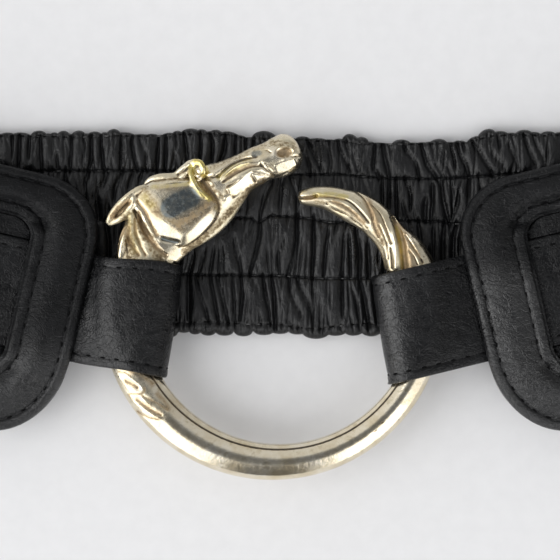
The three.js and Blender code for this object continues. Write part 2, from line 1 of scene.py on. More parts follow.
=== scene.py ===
"""The waist belt's looks: gathered band, front panels, straps and the cast horse ring."""
import math

import bpy
import numpy as np
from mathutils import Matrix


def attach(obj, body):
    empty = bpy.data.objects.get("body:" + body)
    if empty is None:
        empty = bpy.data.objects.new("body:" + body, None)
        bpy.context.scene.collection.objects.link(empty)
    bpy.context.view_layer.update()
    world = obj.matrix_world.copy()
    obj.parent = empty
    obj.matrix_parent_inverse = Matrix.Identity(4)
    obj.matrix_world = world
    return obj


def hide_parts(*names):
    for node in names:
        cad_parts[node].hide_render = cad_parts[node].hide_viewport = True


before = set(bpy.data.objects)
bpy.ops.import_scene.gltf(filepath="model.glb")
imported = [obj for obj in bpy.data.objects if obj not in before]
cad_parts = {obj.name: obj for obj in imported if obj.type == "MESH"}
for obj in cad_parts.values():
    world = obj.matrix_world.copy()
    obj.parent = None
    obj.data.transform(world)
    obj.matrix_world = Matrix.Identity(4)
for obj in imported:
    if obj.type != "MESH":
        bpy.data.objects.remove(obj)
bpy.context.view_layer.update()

# The belt is drawn in millimetres. BELT_MIDDLE is where its origin lies in that drawing.
MM = 0.001
BELT_MIDDLE = np.array([0.0437, 4.0708, 0.0])
# How close, in metres, the points of a seam are that get welded.
SEAM = 1e-7
BAND_SEAM = 1e-8

# The gathered band.
BAND_WALL = 3.2
BACK_MIDDLE_Y = 17.7
BACK_BEND = 2.0e-4
FOLD_X = 172.0
FOLD_RADIUS = 6.5
FLAT_EDGE = 0.55
BAND_END_WALL = 2.2
BAND_TUCK = 8.0
PRESS_FROM = 0.4
PRESS_OVER = 0.3
LOWER_EDGE = -24.6

# Each front panel, in its own axes: u outwards from the ring, v across.
NOSE_X = 46.4
NOSE_Y = 2.1
PANEL_TURN = math.radians(13)
PANEL_LENGTH = 100.0
PANEL_MIDDLE_V = -4.5
FRONT_HEIGHT = 5.0
FRONT_RISE = 4.4 / 92
DROOP_DEPTH = 1.8
DROOP_LENGTH = 28.0
GAP = 0.3
BACKING_WALL = 1.5
BACKING_INSET = 0.9
FRAME_WALL = 2.4
RAIL_FILL = 2.0
RAIL_STEP = 5.0
STRAP_EASE = 2.2
# Corners: u, v, and how far each is rounded towards the corner before and after it.
PANEL_CORNERS = [
    (0, 27, 13.5, 15),
    (56, 27.3, 18, 18),
    (100, 20.8, 3, 3),
    (100, -29.8, 3, 3),
    (56, -35.8, 18, 18),
    (0, -35.5, 17, 21.5),
]
WINDOW_CORNERS = [
    (15, 16.5, 5, 6),
    (56, 16.6, 9, 9),
    (80, 13, 12, 13),
    (80, -21.5, 13, 12),
    (56, -22.6, 9, 9),
    (15, -22, 8, 7),
]
CORNER_STEPS = 20
SIDE_STEPS = [22, 22, 40, 22, 20, 28]

# The strap.
STRAP_WALL = 1.3
STRAP_LAYER_GAP = 0.2
STRAP_ROOM = 2 * STRAP_WALL + STRAP_LAYER_GAP + 2.6 * GAP
STRAP_LOW_V = -15.0
STRAP_HIGH_V = 11.0
FAN_LENGTH = 18.0
STRAP_SIDES = {
    "left": {"fold_low": -23.4, "fold_high": -21.2, "fan": 2.3, "fan_low": 1.3, "slack": 0.6},
    "right": {"fold_low": -24.3, "fold_high": -22.6, "fan": 0.0, "fan_low": 0.0, "slack": 0.15},
}

# The cast ring: x, y and radius of its two edges.
RING_OUTER = (-1.55, 0.24, 40.95)
RING_INNER = (-0.86, 0.95, 33.33)
RING_Z = 10.0
RING_INNER_SEEN = (0.04, 0.33, 32.43)  # the inner edge as it looks, a little inside the one in the CAD
RING_HALF_HEIGHT = 3.85


def smooth(t):
    t = np.clip(t, 0.0, 1.0)
    return t * t * (3 - 2 * t)


def wander(x, seed, step):
    """Smooth uneven values from -1 to 1 along x, with a new value each step."""
    values = np.random.default_rng(seed).uniform(-1, 1, 1024)
    t = np.asarray(x, float) / step + 512
    k = np.floor(t).astype(int)
    ease = smooth(t - k)
    return values[k % 1024] * (1 - ease) + values[(k + 1) % 1024] * ease


def wander_over(x, y, seed, step_x, step_y):
    """The same over a face."""
    values = np.random.default_rng(seed).uniform(-1, 1, (512, 512))
    a = np.asarray(x, float) / step_x + 256
    b = np.asarray(y, float) / step_y + 256
    i, j = np.floor(a).astype(int), np.floor(b).astype(int)
    p, q = smooth(a - i), smooth(b - j)
    i, j = i % 511, j % 511
    low = values[i, j] * (1 - p) + values[i + 1, j] * p
    high = values[i, j + 1] * (1 - p) + values[i + 1, j + 1] * p
    return low * (1 - q) + high * q


def through(rows, count):
    """count rows on a smooth line through the given rows."""
    rows = np.asarray(rows, float)
    padded = np.vstack([2 * rows[0] - rows[1], rows, 2 * rows[-1] - rows[-2]])
    t = np.linspace(0, len(rows) - 1, count)
    k = np.minimum(t.astype(int), len(rows) - 2)
    f = (t - k)[:, None]
    a, b, c, d = (padded[k + n] for n in range(4))
    return 0.5 * (2 * b + (c - a) * f + (2 * a - 5 * b + 4 * c - d) * f**2 + (3 * b - a - 3 * c + d) * f**3)


# Handling of pieces.


def pick_nothing():
    for thing in bpy.context.selected_objects:
        thing.select_set(False)


def pick(*pieces):
    pick_nothing()
    for piece in pieces:
        piece.select_set(True)
    bpy.context.view_layer.objects.active = pieces[0]


def in_scene(places):
    return (np.asarray(places, float) - BELT_MIDDLE) * MM


def place_points(piece, places):
    piece.data.vertices.foreach_set("co", in_scene(places).reshape(-1))
    piece.data.update()


def points_of(piece):
    flat = np.zeros(len(piece.data.vertices) * 3)
    piece.data.vertices.foreach_get("co", flat)
    return flat.reshape(-1, 3) / MM + BELT_MIDDLE


def normals_of(piece):
    flat = np.zeros(len(piece.data.vertices) * 3)
    piece.data.vertex_normals.foreach_get("vector", flat)
    return flat.reshape(-1, 3)


def close_up(weld=None, fill=True):
    """Welds the seam and fills the open ends of the piece at hand, and turns its faces outward."""
    bpy.ops.object.mode_set(mode="EDIT")
    bpy.ops.mesh.select_all(action="SELECT")
    if weld:
        bpy.ops.mesh.remove_doubles(threshold=weld)
    if fill:
        bpy.ops.mesh.fill_holes(sides=0)
    bpy.ops.mesh.select_all(action="SELECT")
    bpy.ops.mesh.normals_make_consistent(inside=False)
    bpy.ops.object.mode_set(mode="OBJECT")
    bpy.ops.object.shade_smooth()


def drawn_out(name, sections, looped=False):
    """A ring of edges at the first section, extruded to each next one. looped joins the last to the first."""
    sections = np.asarray(sections, float)
    if looped:
        sections = np.concatenate([sections, sections[:1]])
    middles = in_scene(sections.mean(axis=1))
    size = np.linalg.norm(sections[0] - sections[0].mean(axis=0), axis=1).mean() * MM
    pick_nothing()
    bpy.ops.mesh.primitive_circle_add(vertices=sections.shape[1], radius=size, location=middles[0])
    piece = bpy.context.object
    piece.name = piece.data.name = name
    bpy.ops.object.transform_apply(location=True)
    bpy.ops.object.mode_set(mode="EDIT")
    bpy.ops.mesh.select_mode(type="EDGE")
    bpy.ops.mesh.select_all(action="SELECT")
    for step in np.diff(middles, axis=0):
        bpy.ops.mesh.extrude_edges_move(TRANSFORM_OT_translate={"value": tuple(step)})
    bpy.ops.object.mode_set(mode="OBJECT")
    place_points(piece, sections)
    if looped:
        close_up(weld=SEAM, fill=False)
    else:
        close_up()
    return piece


def joined(name, pieces):
    pick(*pieces)
    bpy.ops.object.join()
    whole = bpy.context.object
    whole.name = whole.data.name = name
    return whole


def cast_together(piece, grain, rounds):
    """Melts overlapping forms into one skin, and rounds its inner corners."""
    pick(piece)
    bpy.ops.object.modifier_add(type="REMESH")
    melt = piece.modifiers[-1]
    melt.mode = "VOXEL"
    melt.voxel_size = grain * MM
    bpy.ops.object.modifier_apply(modifier=melt.name)
    soften(piece, rounds)


def soften(piece, rounds):
    pick(piece)
    bpy.ops.object.modifier_add(type="SMOOTH")
    ease = piece.modifiers[-1]
    ease.factor = 0.5
    ease.iterations = rounds
    bpy.ops.object.modifier_apply(modifier=ease.name)
    bpy.ops.object.shade_smooth()


def keep_on_points(piece, name, amounts):
    """Keeps one amount on each point, for the piece's material."""
    layer = piece.data.attributes.get(name) or piece.data.attributes.new(name, "FLOAT", "POINT")
    layer.data.foreach_set("value", amounts.astype(np.float32))


def mirrored_x(places):
    return np.asarray(places, float) * np.array([-1.0, 1.0, 1.0])


def finished(piece, node, material):
    piece.data.materials.clear()
    piece.data.materials.append(material)
    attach(piece, "root")
    if node:
        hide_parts(node)


# Where things lie.


def back_middle_y(x):
    return BACK_MIDDLE_Y + BACK_BEND * x * x


def in_plan(u, v):
    x = NOSE_X + u * math.cos(PANEL_TURN) - v * math.sin(PANEL_TURN)
    y = NOSE_Y + u * math.sin(PANEL_TURN) + v * math.cos(PANEL_TURN)
    return x, y


def height_at(x, y):
    """The panels' underside at a place in plan."""
    u = (x - NOSE_X) * math.cos(PANEL_TURN) + (y - NOSE_Y) * math.sin(PANEL_TURN)
    droop = smooth((back_middle_y(x) + LOWER_EDGE - y) / DROOP_LENGTH)
    return FRONT_HEIGHT + FRONT_RISE * np.maximum(u, 0) - DROOP_DEPTH * droop


def beside_strap(v):
    """How far a place across the panel lies outside the strap's edges."""
    return np.maximum(v - STRAP_HIGH_V, STRAP_LOW_V - v)


def front_points(u, v, above):
    x, y = in_plan(u, v)
    return np.stack([x, y, height_at(x, y) + above], axis=-1)


# Materials. A pattern's size is given in millimetres.


class Finish:
    """A material with the few nodes that every finish here shares."""

    def __init__(self, name):
        self.material = bpy.data.materials.new(name)
        self.material.use_nodes = True
        self.tree = self.material.node_tree
        self.shader = next(n for n in self.tree.nodes if n.type == "BSDF_PRINCIPLED")
        self.coordinates = self.tree.nodes.new("ShaderNodeTexCoord").outputs["Object"]

    def node(self, kind, settings=None, **inputs):
        made = self.tree.nodes.new("ShaderNode" + kind)
        for key, value in (settings or {}).items():
            setattr(made, key, value)
        for key, value in inputs.items():
            self.feed(made.inputs[key.replace("_", " ")], value)
        return made

    def feed(self, socket, value):
        if isinstance(value, bpy.types.NodeSocket):
            self.tree.links.new(value, socket)
        else:
            socket.default_value = value

    def scaled(self, sizes, turn=0.0):
        """Object coordinates counted in pattern sizes: one in millimetres, or one for each way."""
        if not isinstance(sizes, tuple):
            sizes = (sizes, sizes, sizes)
        mapping = self.node("Mapping", Vector=self.coordinates)
        mapping.inputs["Scale"].default_value = [1 / (size * MM) for size in sizes]
        mapping.inputs["Rotation"].default_value = (0, 0, turn)
        return mapping.outputs["Vector"]

    def noise(self, sizes, detail=3.0, roughness=0.55, distortion=0.0, turn=0.0):
        made = self.node("TexNoise", Vector=self.scaled(sizes, turn))
        made.inputs["Scale"].default_value = 1.0
        made.inputs["Detail"].default_value = detail
        made.inputs["Roughness"].default_value = roughness
        made.inputs["Distortion"].default_value = distortion
        return made.outputs["Fac"]

    def cells(self, size, feature="F1", vector=None):
        made = self.node("TexVoronoi", {"feature": feature}, Vector=vector or self.scaled(size))
        made.inputs["Scale"].default_value = 1.0
        return made.outputs["Distance"]

    def bent_cells(self, sizes, bend, turn=0.0):
        """How far each place is from the borders of wandering cells."""
        way = self.node("VectorMath", {"operation": "MULTIPLY_ADD"})
        push = self.node("TexNoise", Vector=self.scaled(tuple(2 * size for size in sizes), turn))
        push.inputs["Scale"].default_value = 1.0
        self.feed(way.inputs[0], push.outputs["Color"])
        way.inputs[1].default_value = (bend, bend, bend)
        self.feed(way.inputs[2], self.scaled(sizes, turn))
        return self.cells(1, "DISTANCE_TO_EDGE", way.outputs[0])

    def spread(self, value, low, high, to_low=0.0, to_high=1.0):
        made = self.node("MapRange", {"interpolation_type": "SMOOTHSTEP"}, Value=value)
        made.inputs["From Min"].default_value = low
        made.inputs["From Max"].default_value = high
        made.inputs["To Min"].default_value = to_low
        made.inputs["To Max"].default_value = to_high
        return made.outputs["Result"]

    def sums(self, operation, a, b):
        made = self.tree.nodes.new("ShaderNodeMath")
        made.operation = operation
        self.feed(made.inputs[0], a)
        self.feed(made.inputs[1], b)
        return made.outputs[0]

    def colours(self, value, stops):
        made = self.node("ValToRGB", Fac=value)
        ramp = made.color_ramp
        while len(ramp.elements) < len(stops):
            ramp.elements.new(0.5)
        for element, (at, colour) in zip(ramp.elements, stops):
            element.position = at
            element.color = (*colour, 1)
        return made.outputs["Color"]

    def mixed(self, share, one, other):
        made = self.tree.nodes.new("ShaderNodeMix")
        made.data_type = "RGBA"
        self.feed(made.inputs[0], share)
        self.feed(made.inputs[6], one)
        self.feed(made.inputs[7], other)
        return made.outputs[2]

    def raised(self, height, depth, strength=1.0, below=None):
        """A bump of that height in millimetres."""
        made = self.node("Bump", Height=height)
        made.inputs["Strength"].default_value = strength
        made.inputs["Distance"].default_value = depth * MM
        if below is not None:
            self.feed(made.inputs["Normal"], below)
        return made.outputs["Normal"]

    def set(self, **values):
        for key, value in values.items():
            self.feed(self.shader.inputs[key.replace("_", " ")], value)

    def attribute(self, name):
        return self.node("Attribute", {"attribute_name": name}).outputs["Fac"]


# The blacks of the leather and the thread, from least to most worn: place on the ramp, colour.
PANEL_BLACKS = [(0.3, (0.0018, 0.0019, 0.0022)), (0.72, (0.0078, 0.0081, 0.0090))]
BAND_BLACKS = [(0.3, (0.0032, 0.0033, 0.0037)), (0.75, (0.0092, 0.0095, 0.0103))]
THREAD_BLACKS = [(0.35, (0.0012, 0.0012, 0.0012)), (0.7, (0.0045, 0.0045, 0.005))]
SCRATCH_GREY = (0.13, 0.13, 0.135, 1)
# The grey of the glints of light painted on the thread.
THREAD_GLINT_GREY = (0.12, 0.12, 0.12, 1)
FLOOR_GREYS = [(0.3, (0.705, 0.705, 0.715)), (0.7, (0.73, 0.73, 0.74))]
PAINTED_SHEEN_GAIN = 1.9  # what a place of full painted sheen adds to the gloss, as a share of it; the sheen is painted where the light catches the leather
BAND_GLOSS = 0.345
# The cast metal: the plating, its blotches, its dull places and the stain in its hollows.
PLATE = [(0.32, (0.70, 0.60, 0.42)), (0.55, (0.82, 0.74, 0.58)), (0.75, (0.87, 0.81, 0.69))]
BLOTCH = (0.50, 0.42, 0.26, 1)
KHAKI = [(0.35, (0.42, 0.36, 0.22)), (0.65, (0.62, 0.57, 0.42))]
STAIN = [(0.6, (0.42, 0.32, 0.17)), (0.82, (0.19, 0.14, 0.08)), (0.98, (0.065, 0.055, 0.045))]
FINE_TARNISH = 0.11  # how far the fine pattern makes the hollows uneven
# The tints over it: the points' attribute, the pattern (size, detail, roughness), the pattern's range and
# what share of the tint its ends get, and the colour.
TINTS = [
    ("browned", (1.5, 4, 0.6), (0.32, 0.6), (0.4, 0.95), (0.44, 0.33, 0.20, 1)),
    # The blue-grey tint is, on the cheek, a painted reflection of the dark room above.
    ("grey_and_painted_reflection", (1.2, 4, 0.6), (0.3, 0.58), (0.75, 1.0), (0.20, 0.225, 0.225, 1)),
    ("yellowed", (1.3, 3, 0.55), (0.3, 0.62), (0.35, 0.9), (0.62, 0.51, 0.14, 1)),
]


def panel_leather(name, gloss, smoothest, roughest, wrinkled):
    """Smooth black leather: pebbled grain, wrinkles, fine cracks, faint scratches, and a sheen painted by
    raising its gloss in places.
    """
    f = Finish(name)
    pebbles = f.spread(f.bent_cells((0.8, 0.7, 0.8), 3.0), 0.0, 0.3)
    cracks = f.spread(f.bent_cells((3.4, 2.4, 3.4), 2.6, 0.9), 0.0, 0.07)
    wrinkles = f.noise((2.6, 1.1, 2.6), 3, 0.6, 1.2, turn=0.6)
    where = f.spread(f.noise(11, 2), 0.42, 0.62, 0.12, 1.0)
    swells = f.noise((7.0, 4.5, 7.0), 2, 0.5, 0.6, turn=-0.5)
    scratches = f.spread(f.noise((5, 0.2, 5), 2, turn=0.5), 0.67, 0.75)
    crossing = f.spread(f.noise((0.22, 4, 4), 2, turn=0.35), 0.69, 0.76)
    dust = f.spread(f.noise(0.45, 2), 0.70, 0.78)
    scratched = f.sums("MULTIPLY", f.sums("MAXIMUM", scratches, crossing), 0.3)
    marks = f.sums("ADD", scratched, f.sums("MULTIPLY", dust, 0.3))
    rub = f.noise(7, 5, 0.66)
    base = f.mixed(marks, f.colours(rub, PANEL_BLACKS), SCRATCH_GREY)
    rough = f.spread(rub, 0.3, 0.75, smoothest, roughest)
    relief = f.raised(swells, 0.7 * wrinkled, 0.7)
    relief = f.raised(f.sums("MULTIPLY", wrinkles, where), 0.55 * wrinkled, 0.8, relief)
    relief = f.raised(cracks, 0.09 * wrinkled, 0.7, relief)
    relief = f.raised(pebbles, 0.055, 0.8, relief)
    relief = f.raised(f.noise(0.3, 2), 0.02, 0.7, relief)
    # The gloss is raised where a sheen is painted on the points.
    shine = f.sums("MULTIPLY_ADD", f.attribute("painted_sheen"), PAINTED_SHEEN_GAIN * gloss)
    shine.node.inputs[2].default_value = gloss
    f.set(Base_Color=base, Roughness=rough, Normal=relief, Specular_IOR_Level=shine)
    return f.material


def band_leather():
    """Thin black leather of the band, drawn into fine creases across it."""
    f = Finish("band_leather")
    fine = f.noise((0.8, 2.6, 1.4), 4, 0.6, 0.9)
    small = f.noise((0.9, 1.2, 0.9), 3, 0.6, 0.8)
    pores = f.cells(0.35)
    rub = f.noise(6, 5, 0.65)
    relief = f.raised(fine, 0.22, 0.75)
    relief = f.raised(small, 0.2, 0.7, relief)
    relief = f.raised(pores, 0.04, 0.6, relief)
    base, rough = f.colours(rub, BAND_BLACKS), f.spread(rub, 0.3, 0.75, 0.26, 0.44)
    f.set(Base_Color=base, Roughness=rough, Normal=relief, Specular_IOR_Level=BAND_GLOSS)
    return f.material


def stitch_thread(name, glinting):
    """Black twisted thread, with grey patches in places that are painted glints of light."""
    f = Finish(name)
    ply = f.noise(0.25, 2)
    # Grey patches at random: painted glints of light.
    wear_and_glint = f.spread(f.noise(5, 2), 0.56, 0.64, 0.0, glinting)
    base = f.mixed(wear_and_glint, f.colours(ply, THREAD_BLACKS), THREAD_GLINT_GREY)
    f.set(Base_Color=base, Roughness=0.75, Normal=f.raised(ply, 0.03, 0.6), Specular_IOR_Level=0.08)
    return f.material


def cast_metal():
    """Pale gilt plating, polished on what stands proud and tarnished in the hollows."""
    f = Finish("pale_gilt_cast")
    cloud = f.noise(5, 4, 0.6)
    fine = f.noise(0.8, 4, 0.65)
    matt = f.attribute("matt")
    wear_and_glint = f.sums("ADD", f.attribute("hollow"), f.spread(fine, 0.3, 0.7, -FINE_TARNISH, FINE_TARNISH))
    blotches = f.spread(f.noise(2.4, 5, 0.68), 0.54, 0.68, 0.0, 0.5)
    plate = f.mixed(blotches, f.colours(cloud, PLATE), BLOTCH)
    dull = f.colours(f.noise(1.8, 4, 0.6), KHAKI)
    plate = f.mixed(f.sums("MULTIPLY", matt, 0.7), plate, dull)
    colour = f.mixed(f.spread(wear_and_glint, 0.56, 0.82, 0.0, 0.95), plate, f.colours(wear_and_glint, STAIN))
    for name, pattern, reach, shares, tint in TINTS:
        share = f.sums("MULTIPLY", f.attribute(name), f.spread(f.noise(*pattern), *reach, *shares))
        colour = f.mixed(share, colour, tint)
    rough = f.sums("ADD", f.spread(wear_and_glint, 0.5, 0.95, 0.13, 0.45), f.spread(fine, 0.35, 0.75, 0.0, 0.09))
    rough = f.sums("ADD", rough, f.sums("MULTIPLY", matt, 0.26))
    relief = f.raised(f.noise(2.2, 4, 0.6), 0.07, 0.6)
    relief = f.raised(fine, 0.03, 0.6, relief)
    relief = f.raised(f.sums("MULTIPLY", f.noise(0.6, 3, 0.6), matt), 0.12, 0.6, relief)
    f.set(Base_Color=colour, Roughness=rough, Metallic=1.0, Normal=relief)
    return f.material


def pale_floor():
    """A plain pale table."""
    f = Finish("pale_table")
    f.set(Base_Color=f.colours(f.noise(4, 3), FLOOR_GREYS), Roughness=0.7, Specular_IOR_Level=0.25)
    return f.material


# The gathered band.

# The stitched rows, lowest first: x along the back run, then how far across the band the row lies there.
ROW_LOW = [
    (-186, -22.0), (-60, -21.6), (-24, -21.1), (-20, -20.9), (-10, -21.3), (0, -21.5), (5, -22.3),
    (10, -22.7), (14, -21.8), (20, -21.4), (26, -22.0), (186, -22.0),
]
ROW_SECOND = [
    (-186, -10.0), (-22, -9.6), (-5, -9.7), (0, -9.8), (5, -10.2), (10, -10.4), (20, -10.5), (186, -10.0),
]
ROW_THIRD = [
    (-186, 3.4), (-42, 3.2), (-11, 4.2), (-7, 4.2), (-5, 3.1), (-2, 4.7), (1, 4.4), (8, 3.9), (12, 3.0),
    (29, 3.2), (38, 2.9), (42, 2.2), (186, 3.4),
]
ROW_FOURTH = [
    (-186, 15.0), (-62, 14.6), (-45, 15.0), (-35, 15.3), (-20, 15.2), (5, 14.5), (15, 14.5), (24, 13.6),
    (35, 13.25), (45, 13.3), (60, 14.2), (186, 14.8),
]
ROW_TOP = [
    (-186, 23.2), (-66, 23.0), (-50, 23.1), (-40, 23.6), (-30, 23.65), (-25, 23.9), (-20, 24.3), (-15, 24.2),
    (-12, 23.9), (-8, 23.2), (4, 22.8), (15, 22.5), (22, 21.8), (30, 21.7), (45, 21.6), (48, 22.4),
    (52, 23.3), (66, 23.2), (186, 23.2),
]
STITCHED_ROWS = [ROW_LOW, ROW_SECOND, ROW_THIRD, ROW_FOURTH, ROW_TOP]
# The puffs of leather that stand out past the top row: x, half their width, how far they stand out.
TOP_PUFFS = [
    (-66.0, 1.6, 0.95), (-62.6, 2.0, 1.0), (-58.4, 1.7, 1.55), (-56.0, 0.9, 0.85), (-54.5, 1.0, 1.15),
    (-52.3, 1.4, 1.65), (-50.7, 0.7, 0.9), (-48.7, 1.6, 1.75), (-46.9, 0.7, 1.0), (-44.9, 1.6, 1.35),
    (-42.4, 0.9, 1.1), (-40.2, 1.6, 1.8), (-37.3, 1.9, 1.0), (-33.8, 1.8, 0.55), (-30.8, 1.2, 0.65),
    (-28.8, 0.9, 0.4), (-26.9, 1.3, 0.8), (-24.8, 1.1, 1.1), (-21.6, 2.0, 1.5), (-18.8, 1.25, 1.25),
    (-16.9, 0.8, 0.8), (-15.3, 1.4, 1.2), (-12.0, 2.0, 1.0), (-9.1, 0.9, 0.6), (-7.1, 0.9, 0.4),
    (-3.5, 2.7, 2.1), (0.6, 1.6, 0.9), (3.2, 1.2, 0.6), (5.8, 1.6, 1.1), (9.4, 1.9, 0.75), (12.2, 1.2, 0.5),
    (14.6, 1.1, 0.7), (17.4, 1.8, 2.1), (20.2, 1.5, 1.8), (22.1, 0.9, 0.7), (24.3, 1.4, 0.4),
    (26.8, 1.2, 0.3), (29.7, 1.9, 1.25), (32.6, 1.0, 0.5), (34.7, 1.1, 0.5), (36.6, 1.0, 0.6),
    (38.7, 1.8, 1.2), (41.6, 1.2, 0.4), (43.8, 1.3, 0.8), (47.4, 1.4, 1.0), (50.5, 2.0, 2.1),
    (53.6, 1.8, 1.2), (56.3, 1.5, 0.7), (59.6, 1.9, 1.4), (62.2, 1.3, 0.9), (65.4, 1.6, 1.1),
]
# The scallops of the lower edge: x, half their width, how far across the band they reach.
LOWER_SCALLOPS = [
    (-25.6, 1.6, -24.8), (-22.8, 1.4, -23.7), (-20.0, 1.4, -24.1), (-16.9, 1.9, -24.4), (-13.0, 2.2, -24.4),
    (-8.5, 2.2, -24.5), (-3.6, 2.3, -24.2), (0.2, 1.9, -23.9), (4.4, 2.0, -24.0), (8.8, 3.4, -25.1),
    (13.6, 2.4, -24.4), (17.8, 2.2, -24.4), (22.0, 2.4, -24.6), (26.0, 2.0, -24.8),
]
